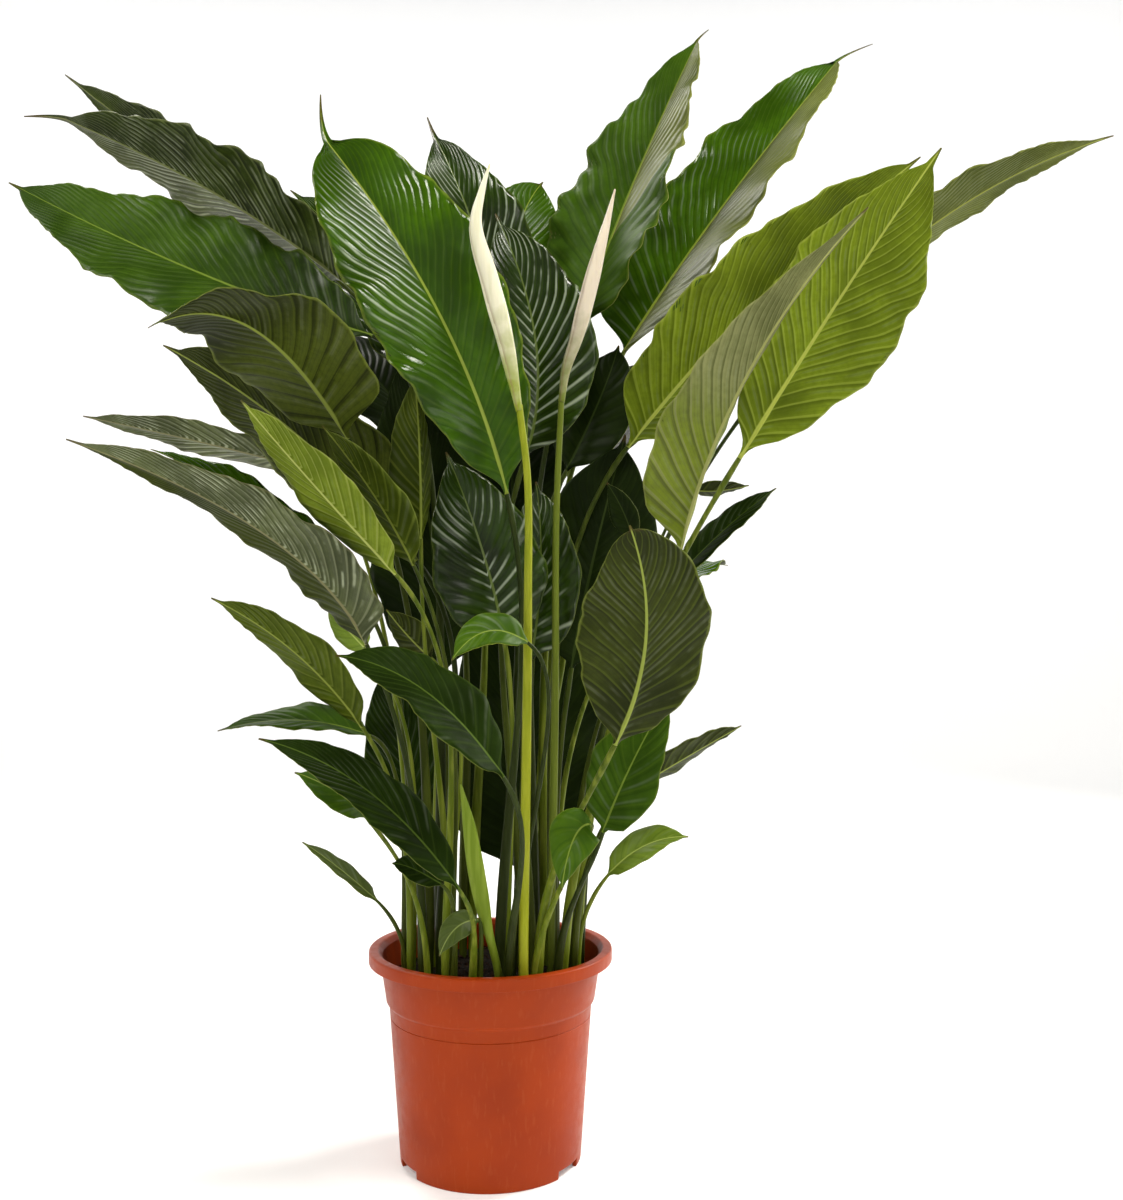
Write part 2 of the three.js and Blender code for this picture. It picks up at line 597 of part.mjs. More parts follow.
const STALKS = [
  {
    name: "left",
    stalk: [[35, -87, 164], [35, -87, 235], [38, -105, 405], [40, -125, 550], [40, -140, 655], [33, -149, 712]],
    stalkRadii: [4.6, 4.6, 4.4, 4, 3.4, 3],
    bloom: [[33, -149, 713], [21, -152, 775], [8, -152, 825], [-5, -150, 875], [0, -148, 905], [7, -145, 930]],
    bloomRadii: [3.4, 7, 8, 7, 4.5, 0.7],
  },
  {
    name: "right",
    stalk: [[60, -45, 164], [60, -45, 235], [64, -48, 455], [65, -55, 625], [70, -60, 735]],
    stalkRadii: [4, 4, 3.6, 3.2, 2.8],
    bloom: [[70, -60, 736], [74, -62, 765], [84, -65, 795], [95, -68, 835], [108, -72, 885], [120, -75, 932]],
    bloomRadii: [3, 5, 7, 6.5, 4, 0.7],
  },
];

// A young leaf still rolled in its sheath.
const SHEATH = {
  points: [[12, -79, 164], [12, -79, 195], [0, -92, 255], [-8, -98, 300], [-15, -100, 345], [-22, -100, 380]],
  radii: [3.5, 3.6, 3.8, 7.5, 8, 6, 0.7],
};

function makeBlooms() {
  for (const { name, stalk, stalkRadii, bloom, bloomRadii } of STALKS) {
    add(`stalk_${name}`, loft(rodRings(stalk, stalkRadii, 8, 9)), COLOURS.stalk);
    add(`bloom_${name}`, loft(rodRings(bloom, bloomRadii, 10, 9)), COLOURS.bloom);
  }
}

function makeSheath() {
  add("sheath", loft(rodRings(SHEATH.points, SHEATH.radii, 8, 8)), COLOURS.bright);
}

const leaves = readLeaves();
const rods = [...STALKS.map(({ stalk, stalkRadii }) => ({ points: stalk, radii: stalkRadii })), SHEATH];
spreadRoots(leaves, rods);
makePot();
leaves.forEach(makeLeaf);
makeBlooms();
makeSheath();
makeSoil([
  ...leaves.map((leaf) => stemHole(leaf.root, leaf.stem)),
  ...rods.map(({ points, radii }) => stemHole(points[0], radii[0])),
]);

export default lily;
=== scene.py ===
"""A potted peace lily: pleated leaves, furled blooms, soil and a plastic nursery pot.

Metres, +Z up, and -Y is the front. Every surface is worked out as whole arrays and follows the
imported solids: a leaf springs from the place where its solid's stem leaves the soil.
"""
import math

import bpy
import numpy as np
from bpy.props import FloatProperty, FloatVectorProperty, IntProperty, PointerProperty
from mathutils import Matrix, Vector


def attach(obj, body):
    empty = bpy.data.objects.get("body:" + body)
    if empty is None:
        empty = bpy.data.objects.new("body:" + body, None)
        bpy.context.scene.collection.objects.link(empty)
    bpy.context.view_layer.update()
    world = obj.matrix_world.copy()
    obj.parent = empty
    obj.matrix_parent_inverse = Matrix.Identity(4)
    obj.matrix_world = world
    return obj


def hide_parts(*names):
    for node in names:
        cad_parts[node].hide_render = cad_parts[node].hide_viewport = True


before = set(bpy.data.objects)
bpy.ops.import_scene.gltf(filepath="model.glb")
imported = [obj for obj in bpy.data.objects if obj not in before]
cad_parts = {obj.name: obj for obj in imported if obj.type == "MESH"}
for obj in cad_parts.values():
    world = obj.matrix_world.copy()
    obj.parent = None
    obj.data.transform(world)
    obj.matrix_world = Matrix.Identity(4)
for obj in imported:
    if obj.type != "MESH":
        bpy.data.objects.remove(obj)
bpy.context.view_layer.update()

bl_info = {
    "name": "Potted Peace Lily",
    "version": (1, 0, 0),
    "blender": (4, 5, 0),
    "location": "3D View > Sidebar > Lily",
    "description": "Builds a peace lily in a nursery pot, leaf by leaf",
    "category": "Add Mesh",
}

MM = 0.001
TAU = 2 * math.pi
# a pale highlight painted on the ridges of a leaf top's pleats
PAINTED_PLEAT_HIGHLIGHT = "#a9b59a"
# a pale sheen painted on the ridges of an underside's pleats
PAINTED_UNDERSIDE_SHEEN = "#b6be9c"
DRY_TIP = "#4b3a1c"
# painted shade, brown, in the recess beside a furled bract's outer margin
PAINTED_MARGIN_SHADE = "#8a6c50"


# ---- colours and nodes ----
def linear(colour):
    """An sRGB hex value, or a linear colour as it is, as linear red, green and blue with full alpha."""
    if not isinstance(colour, str):
        return tuple(colour) + (1.0,)
    parts = [int(colour[i : i + 2], 16) / 255 for i in (1, 3, 5)]
    return tuple(c / 12.92 if c <= 0.04045 else ((c + 0.055) / 1.055) ** 2.4 for c in parts) + (1.0,)


def add(tree, kind, inputs=None, output=0, **settings):
    """Adds a shader node of a kind and gives one of its outputs. Settings are the node's own
    fields; inputs are plain values or other nodes' outputs."""
    made = tree.nodes.new("ShaderNode" + kind)
    for name, value in settings.items():
        setattr(made, name, value)
    for key, value in (inputs or {}).items():
        if isinstance(value, bpy.types.NodeSocket):
            tree.links.new(value, made.inputs[key])
        else:
            made.inputs[key].default_value = value
    return made.outputs[output]


def new_material(name):
    """An empty node material and its tree."""
    material = bpy.data.materials.new(name)
    material.use_nodes = True
    material.node_tree.nodes.clear()
    return material, material.node_tree


def end_material(material, tree, skin, grain=None, through=0.0, glow=None):
    """Ends a material with a shader of the skin's values. Its grain is a pattern with a strength and
    a height in millimetres; through is the share of light that shines through it as a glow."""
    if grain:
        pattern, strength, height = grain
        bump = {"Height": pattern, "Strength": strength, "Distance": height * MM}
        skin["Normal"] = add(tree, "Bump", bump)
    shader = add(tree, "BsdfPrincipled", skin)
    if glow is not None:
        glow = add(tree, "BsdfTranslucent", {"Color": glow})
        shader = add(tree, "MixShader", {0: through, 1: shader, 2: glow})
    tree.links.new(shader, tree.nodes.new("ShaderNodeOutputMaterial").inputs["Surface"])
    return material


# ---- patterns ----
def tissue_pattern(tree, size_mm, stretch=(1, 1, 1), low=0.35, high=0.7):
    """Soft blotches about size_mm across: 0 between them and 1 in them. A stretch under 1 along an
    axis draws them out into streaks along it."""
    place = add(tree, "TexCoord", output="Object")
    place = add(tree, "Mapping", {"Vector": place, "Scale": stretch})
    blotch = add(tree, "TexNoise", {"Vector": place, "Scale": 1 / (size_mm * MM), "Detail": 3.0})
    levels = {"Value": blotch, "From Min": low, "From Max": high}
    return add(tree, "MapRange", levels, interpolation_type="SMOOTHSTEP")


def side_vein_pattern(tree, width, lines=1, shift=0.0):
    """1 on each side vein and 0 from width of the way to the next. The blade's attribute vein counts
    the veins, so that whole numbers lie on one. There can be several lines to a vein, and a shift
    moves them by a share of the distance between two veins."""
    count = add(tree, "Attribute", output="Fac", attribute_name="vein")
    phase = {0: count, 1: math.pi * lines, 2: math.pi * shift}
    wave = add(tree, "Math", {0: add(tree, "Math", phase, operation="MULTIPLY_ADD")}, operation="SINE")
    off_vein = add(tree, "Math", {0: wave}, operation="ABSOLUTE")
    levels = {"Value": off_vein, "From Min": 0.04, "From Max": width, "To Min": 1.0, "To Max": 0.0}
    return add(tree, "MapRange", levels, interpolation_type="SMOOTHSTEP")


def ramp(tree, field, start, end):
    """0 up to where the blade's attribute is start and 1 from end on, or the other way round where
    end is lower. Its attributes run along it, to its edge, to its right side and off its midrib."""
    place = add(tree, "Attribute", output="Fac", attribute_name=field)
    levels = {"Value": place, "From Min": min(start, end), "From Max": max(start, end)}
    if end < start:
        levels.update({"To Min": 1.0, "To Max": 0.0})
    return add(tree, "MapRange", levels, interpolation_type="SMOOTHSTEP")


def end_pattern(tree, field, start):
    """0 up to where the blade's attribute is start, and 1 where it is 1, with a ragged front: along
    ends at the tip and edge at the margins."""
    place = add(tree, "Attribute", output="Fac", attribute_name=field)
    ragged = {0: tissue_pattern(tree, 8), 1: 0.4 * (1 - start), 2: place}
    front = add(tree, "Math", ragged, operation="MULTIPLY_ADD")
    levels = {"Value": front, "From Min": start, "From Max": 1.0}
    return add(tree, "MapRange", levels, interpolation_type="SMOOTHSTEP")


def shared_pattern(tree, pattern, *others):
    """1 only where all the patterns are 1: their product."""
    for other in others:
        pattern = add(tree, "Math", {0: pattern, 1: other}, operation="MULTIPLY")
    return pattern


def gleam_pattern(tree, patch, left_only=False):
    """Where pale highlights are painted: 1 on the ridge of each pleat, half way between two side veins, in
    patches about patch millimetres across, or only over the middle of the blade's left half."""
    if not left_only:
        patches = tissue_pattern(tree, patch, low=0.42, high=0.6)
        return shared_pattern(tree, side_vein_pattern(tree, 0.55, shift=0.5), patches)
    return shared_pattern(
        tree,
        side_vein_pattern(tree, 0.62, shift=0.5),
        ramp(tree, "along", 0.4, 0.55),
        ramp(tree, "along", 0.92, 0.78),
        ramp(tree, "side", -0.02, -0.12),
        ramp(tree, "edge", 0.97, 0.75),
        tissue_pattern(tree, 35, low=0.2, high=0.5),
    )


def layered(tree, colour, *layers):
    """A colour under layers, each with its share, the pattern that it shows in and its colour."""
    colour = linear(colour)
    for share, pattern, layer in layers:
        factor = add(tree, "Math", {0: pattern, 1: share}, operation="MULTIPLY")
        colour = add(tree, "Mix", {0: factor, 6: colour, 7: linear(layer)}, 2, data_type="RGBA")
    return colour


# ---- materials ----
def leaf_upper(name, body, deep, vein, rib, gloss, shine, gleam, left_only=False, foot=None):
    """The waxy upper side of an aroid's leaf: deep green under a glossy cuticle, so that the pleats
    between its veins catch light as white stripes, with pale highlights painted on their ridges, a
    lighter band of painted light on one flank of each pleat, dark lines of painted shade along the
    sunken side veins and a dry brown tip. foot, where given, is the colour of painted shade over its
    lower third."""
    material, tree = new_material(name)
    colour = layered(
        tree,
        body,
        (1.0, tissue_pattern(tree, 55), deep),
        # painted shade over the lower third, where foot is given
        *([(0.85, ramp(tree, "along", 0.5, 0.25), foot)] if foot else []),
        (0.3, tissue_pattern(tree, 6), deep),
        # painted shade: dark lines along the sunken side veins
        (0.6, side_vein_pattern(tree, 0.3), deep),
        # painted light: a lighter band on one flank of each pleat
        (0.2, side_vein_pattern(tree, 0.4, shift=0.75), vein),
        # painted highlight on the ridges of the pleats
        (gleam, gleam_pattern(tree, 45, left_only), PAINTED_PLEAT_HIGHLIGHT),
        (0.8, ramp(tree, "rib", 1.1, 0.66), rib),
        (0.35, end_pattern(tree, "edge", 0.96), rib),
        (0.8, end_pattern(tree, "along", 0.965), DRY_TIP),
    )
    wax = {"Value": tissue_pattern(tree, 18), "To Min": gloss - 0.04, "To Max": gloss + 0.06}
    roughness = add(tree, "MapRange", wax)
    skin = {"Base Color": colour, "Roughness": roughness, "IOR": 1.5, "Specular IOR Level": shine}
    return end_material(material, tree, skin, (tissue_pattern(tree, 1.2), 0.1, 0.3), 0.08, linear(vein))


def leaf_under(name, body, deep, vein, rib, through=0.12, shine=0.12, gloss=0.5, gleam=0.1, foot=None):
    """The underside of a leaf: paler and more matt than the upper side, its side veins and midrib
    raised and pale, with painted shadow beside each vein, a thin dark line and a broader band, a pale
    sheen painted on the ridges between them, and lit through by what falls on the other side. foot is
    the colour of its lower third where that differs."""
    material, tree = new_material(name)
    uneven = tissue_pattern(tree, 30, low=0.25, high=0.55)
    colour = layered(
        tree,
        body,
        (0.8, tissue_pattern(tree, 70), deep),
        *([(0.85, ramp(tree, "along", 0.5, 0.28), foot)] if foot else []),
        (0.25, tissue_pattern(tree, 5), deep),
        # painted shadow: a broad dark band beside each vein, in uneven patches
        (0.6, shared_pattern(tree, side_vein_pattern(tree, 0.6, shift=0.2), uneven), deep),
        # painted sheen on the ridges of the pleats
        (gleam, gleam_pattern(tree, 30), PAINTED_UNDERSIDE_SHEEN),
        (0.55, side_vein_pattern(tree, 0.36), vein),
        # painted shadow: a thin dark line beside each vein
        (0.6, side_vein_pattern(tree, 0.16, shift=0.15), deep),
        (0.25, side_vein_pattern(tree, 0.6, 4), deep),
        (1.0, ramp(tree, "rib", 1.3, 0.78), rib),
        (0.4, end_pattern(tree, "edge", 0.96), rib),
        (0.8, end_pattern(tree, "along", 0.965), DRY_TIP),
    )
    skin = {"Base Color": colour, "Roughness": gloss, "IOR": 1.45, "Specular IOR Level": shine}
    return end_material(material, tree, skin, (tissue_pattern(tree, 1.5), 0.2, 0.3), through, colour)


def stem_skin(name, low, high, blush):
    """The smooth rind of a leaf stem or flower stalk: satin, paler towards the soil, with faint
    lengthwise streaks."""
    material, tree = new_material(name)
    along = add(tree, "Attribute", output="Fac", attribute_name="along")
    streaks = tissue_pattern(tree, 5, (1, 1, 0.06))
    colour = layered(tree, low, (1.0, along, high), (0.5, streaks, blush))
    skin = {"Base Color": colour, "Roughness": 0.42, "IOR": 1.45, "Specular IOR Level": 0.14}
    fibres = tissue_pattern(tree, 1.6, (1, 1, 0.1))
    return end_material(material, tree, skin, (fibres, 0.25, 0.3))


def bract_skin(name, cream, foot, vein):
    """The thick soft tissue of a furled bract: cream, with a green-yellow foot and faint lines, and a
    brown line of painted shade in the recess beside the roll's outer margin."""
    material, tree = new_material(name)
    along = add(tree, "Attribute", output="Fac", attribute_name="along")
    turn = add(tree, "Attribute", output="Fac", attribute_name="turn")
    ragged = add(tree, "Math", {0: tissue_pattern(tree, 14), 1: 0.12, 2: along}, operation="MULTIPLY_ADD")
    rise = {"Value": ragged, "From Min": 0.08, "From Max": 0.48, "To Min": 1.0, "To Max": 0.0}
    margin = {"Value": turn, "From Min": 0.9, "From Max": 1.0}
    tip = {"Value": along, "From Min": 0.94, "From Max": 1.0}
    colour = layered(
        tree,
        cream,
        (1.0, add(tree, "MapRange", rise), foot),
        (0.3, tissue_pattern(tree, 4, (1, 1, 0.05), 0.5, 0.75), vein),
        # painted shade: a brown line in the recess beside the roll's outer margin
        (0.6, add(tree, "MapRange", margin), PAINTED_MARGIN_SHADE),
        (0.6, add(tree, "MapRange", tip), vein),
    )
    skin = {
        "Base Color": colour,
        "Roughness": 0.42,
        "IOR": 1.42,
        "Specular IOR Level": 0.45,
        "Subsurface Weight": 0.25,
        "Subsurface Radius": (0.004, 0.004, 0.002),
        "Subsurface Scale": 0.5,
    }
    lines = tissue_pattern(tree, 2.2, (1, 1, 0.08))
    return end_material(material, tree, skin, (lines, 0.3, 0.4))


def moulded_polypropylene(name, body, deep, pale):
    """Injection-moulded polypropylene: even terracotta colour, a satin sheen, faint scuffs."""
    material, tree = new_material(name)
    scuffs = tissue_pattern(tree, 3, (1, 1, 0.2), 0.55, 0.7)
    colour = layered(tree, body, (0.5, tissue_pattern(tree, 60), deep), (0.12, scuffs, pale))
    sheen = add(tree, "MapRange", {"Value": tissue_pattern(tree, 9), "To Min": 0.36, "To Max": 0.46})
    skin = {"Base Color": colour, "Roughness": sheen, "IOR": 1.49, "Specular IOR Level": 0.15}
    return end_material(material, tree, skin, (tissue_pattern(tree, 0.9), 0.12, 0.2))


def potting_mix(name, dark, brown, fleck):
    """Moist peat and bark: dark, matt and crumbly, with pale dry flecks."""
    material, tree = new_material(name)
    flecks = tissue_pattern(tree, 2.6, low=0.66, high=0.74)
    colour = layered(tree, dark, (1.0, tissue_pattern(tree, 9), brown), (1.0, flecks, fleck))
    skin = {"Base Color": colour, "Roughness": 0.95, "Specular IOR Level": 0.1}
    return end_material(material, tree, skin, (tissue_pattern(tree, 2), 0.8, 1.2))


def studio_paper(name, colour):
    """Seamless background paper: pale and matt, with a faint glow that keeps it white."""
    material, tree = new_material(name)
    skin = {"Base Color": linear(colour), "Roughness": 0.9, "Specular IOR Level": 0.1}
    skin.update({"Emission Color": (1, 1, 1, 1), "Emission Strength": 0.16})
    return end_material(material, tree, skin)


# Each leaf top: its name; the colours of its tissue, or the setting that holds the first, of the
# deeper tissue, the side veins and the midrib; its roughness, its shine and the share of the pale
# highlight painted on the pleats' ridges; then whether only the left half gleams, and the colour of
# the painted shade over its foot.
UPPER_SKINS = {
    "dark": ("dark waxy leaf top", "dark", "#162204", "#3e5218", "#5d6e30", 0.16, 0.22, 0.25),
    # striped: pale highlights painted on the pleats' ridges over the whole blade
    "striped": ("highlight-striped waxy leaf top", "dark", "#162204", "#3e5218", "#5d6e30", 0.16, 0.22, 0.68),
    "green": ("fresh waxy leaf top", "green", "#243d03", "#57701f", "#8f9e3c", 0.16, 0.18, 0.15),
    # front: pale highlights painted in stripes over the middle of the left half only
    "front": ("left-half highlight-striped leaf top", "green", "#243d03", "#57701f", "#8f9e3c", 0.16, 0.15, 0.8, True),
    # far: its foot colour is painted shade from the leaves above
    "far": (
        "half-shaded leaf top", "#3a560f", "#263d07", "#56701c", "#6f8430", 0.36, 0.16, 0.12, False,
        "#131d05",
    ),
    # shaded and satin: darker copies of the dark top, painted shade for leaves deep inside the plant; satin is
    # also matt
    "shaded": ("shaded leaf top", "#1a2607", "#101a04", "#26340e", "#34421a", 0.4, 0.06, 0),
    "satin": ("shaded satin leaf top", "#203109", "#152204", "#40541a", "#4f6424", 0.5, 0.02, 0.08),
    "leafy": ("mid-green leaf top", "#3a560f", "#263d07", "#56701c", "#6f8430", 0.45, 0.04, 0.08),
    "fresh": ("small leaf top", "#48680c", "#34520a", "#5f7a20", "#85983a", 0.42, 0.1, 0.15),
    "bright": ("young leaf top", "#70882a", "#586f1a", "#95aa3e", "#b2c060", 0.36, 0.2, 0.1),
    "dull": ("dull leaf top", "#46541f", "#394716", "#5f6f30", "#84914c", 0.4, 0.15, 0.1),
}
# Each underside: the same name and colours, then the share of light that shines through, its shine,
# its roughness, the share of the pale sheen painted on the pleats' ridges and the colour of its foot.
UNDER_SKINS = {
    "olive": ("olive leaf underside", "#363f0b", "#1c2204", "#535f1a", "#8f9c44"),
    "arched": (
        "arching leaf underside", "#363f0b", "#1c2204", "#535f1a", "#8f9c44", 0.12, 0.12, 0.5, 0.1, "#56621a",
    ),
    "mossy": ("mossy leaf underside", "#5a6a16", "#374409", "#7c8a34", "#96a344", 0.3),
    "grey": ("grey leaf underside", "#3b4a12", "#121905", "#6f7a48", "#747c48", 0.1, 0.16, 0.32, 0.45),
    # silver: a strong painted sheen on the pleats' ridges
    "silver": ("silvery leaf underside with painted sheen", "#5f693c", "#2b3214", "#888e6a", "#7d7a50", 0.12, 0.26, 0.32, 0.75),
    # pale: a paler copy of the underside, painted light on the rolled right halves of crest and high_right;
    # far_right wears it too
    "pale": ("pale leaf underside", "#6f7838", "#465020", "#8f965a", "#a0a748", 0.25, 0.14, 0.4, 0.3),
    "ashen": (
        "ashen leaf underside", "#8b8f5c", "#575d32", "#9ea26c", "#a8ab66", 0.25, 0.1, 0.45, 0.15, "#7d9020",
    ),
    "bright": ("lit leaf underside", "#94aa26", "#5c6e0e", "#bccd4c", "#cad462", 0.5),
    # lime: a brighter copy, painted light shining through left_bright
    "lime": ("lit lime leaf underside", "#a8bd40", "#6a7f1c", "#ced870", "#d8e080", 0.5),
}
# Each rind: its name, and its colours at the soil, at the blade and in its streaks.
STEM_RINDS = (
    ("fresh leaf stem rind", "#5d6c12", "#3e4e0c", "#868e34"),
    ("leaf stem rind", "#373f0a", "#2c3908", "#4e581a"),
    ("shaded leaf stem rind", "#242c08", "#222e07", "#38431a"),
)


# ---- meshes ----
def grid_faces(rows, columns, first=0, closed=False):
    """Quads of a grid of rows by columns points, numbered row by row; closed joins the last column
    to the first. They face outwards where columns run anticlockwise round the way of the rows."""
    strips = columns if closed else columns - 1
    i, j = np.meshgrid(np.arange(rows - 1), np.arange(strips), indexing="ij")
    k = (j + 1) % columns
    quads = np.stack([i * columns + j, i * columns + k, (i + 1) * columns + k, (i + 1) * columns + j], -1)
    return first + quads.reshape(-1, 4)


def fan(first, columns, middle, flipped=False):
    """Triangles from each two neighbours of a ring, numbered from first, to a middle point; flipped
    has them face the other way."""
    j = np.arange(columns)
    centre = np.full(columns, middle)
    faces = np.stack([first + j, first + (j + 1) % columns, centre, centre], -1)
    return faces[:, [1, 0, 2, 3]] if flipped else faces


def make_piece(name, points, quads, materials, material_index=None, fields=None, smooth=True):
    """Puts points and faces (quads, or triangles with a repeated last corner) into one mesh."""
    mesh = bpy.data.meshes.new(name)
    sizes = np.where(quads[:, 2] == quads[:, 3], 3, 4)
    starts = np.concatenate([[0], np.cumsum(sizes)[:-1]])
    corners = quads[np.arange(4)[None, :] < sizes[:, None]]
    mesh.vertices.add(len(points))
    mesh.vertices.foreach_set("co", np.asarray(points, np.float32).ravel())
    mesh.loops.add(len(corners))
    mesh.loops.foreach_set("vertex_index", corners.astype(np.int32))
    mesh.polygons.add(len(quads))
    mesh.polygons.foreach_set("loop_start", starts.astype(np.int32))
    mesh.update(calc_edges=True)
    for material in materials:
        mesh.materials.append(material)
    if material_index is not None:
        mesh.polygons.foreach_set("material_index", material_index.astype(np.int32))
    mesh.polygons.foreach_set("use_smooth", np.full(len(quads), smooth))
    for field, values in (fields or {}).items():
        made = mesh.attributes.new(field, "FLOAT", "POINT")
        made.data.foreach_set("value", np.asarray(values, np.float32))
    mesh.validate()
    piece = bpy.data.objects.new(name, mesh)
    bpy.context.scene.collection.objects.link(piece)
    return piece


def place_on_part(piece, node=None):
    """Lets a piece ride on the one body and stand for a solid."""
    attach(piece, "root")
    if node is not None:
        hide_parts(node)


def turned_faces(rows, columns):
    """Faces of a shape of revolution whose first and last rows are the poles: a fan at each pole and
    quads between, over rows by columns points of which each pole row is one point."""
    last = (rows - 2) * columns + 1
    sides = grid_faces(rows - 2, columns, first=1, closed=True)
    return np.concatenate([sides, fan(1, columns, 0, flipped=True), fan(last - columns, columns, last)])


def turned_points(x, y, z):
    """Points for turned_faces: the grids' first and last rows each become one point."""
    points = np.stack(np.broadcast_arrays(x, y, z), -1)
    return np.concatenate([points[0, :1], points[1:-1].reshape(-1, 3), points[-1, :1]])


def unit(vectors):
    return vectors / np.maximum(np.linalg.norm(vectors, axis=-1, keepdims=True), 1e-9)


def across(direction, tangents):
    """The direction made perpendicular to each tangent."""
    along = (direction * tangents).sum(-1, keepdims=True)
    return unit(direction - along * tangents)


def smoothstep(value, low, high):
    t = np.clip((value - low) / (high - low), 0, 1)
    return t * t * (3 - 2 * t)


def bezier(controls, u):
    """The sum of the control points, each times its Bernstein polynomial of u."""
    order = len(controls) - 1
    return sum(math.comb(order, k) * (1 - u) ** (order - k) * u**k * controls[k] for k in range(order + 1))


def curve_points(controls, u):
    """A Bezier curve with 3 or 4 control points: its places and unit tangents at each u."""
    controls = np.asarray(controls, float)
    steps = np.diff(controls, axis=0) * (len(controls) - 1)
    return bezier(controls, u[:, None]), unit(bezier(steps, u[:, None]))


def carried_normals(start, tangents, backwards=False):
    """Normals carried along a curve, each the last one made perpendicular to the next tangent."""
    order = range(len(tangents) - 1, -1, -1) if backwards else range(len(tangents))
    normals = np.empty_like(tangents)
    normal = np.asarray(start, float)
    for i in order:
        normal = across(normal, tangents[i])
        normals[i] = normal
    return normals


def tube(centres, tangents, normals, radii, count, outline=1.0):
    """A round rod: rings of count points round each centre, its two ends closed by a middle point.
    Where there is an outline, it scales each ring's points."""
    angles = np.arange(count) * TAU / count
    sides = np.cross(tangents, normals)
    ring = np.cos(angles)[None, :, None] * sides[:, None] + np.sin(angles)[None, :, None] * normals[:, None]
    size = np.asarray(radii)[:, None] * outline
    points = centres[:, None] + ring * size[..., None]
    rows = len(centres)
    last = rows * count
    points = np.concatenate([points.reshape(-1, 3), centres[:1], centres[-1:]])
    quads = grid_faces(rows, count, closed=True)[:, ::-1]
    ends = fan(0, count, last), fan(last - count, count, last + 1, flipped=True)
    return points, np.concatenate([quads, *ends])


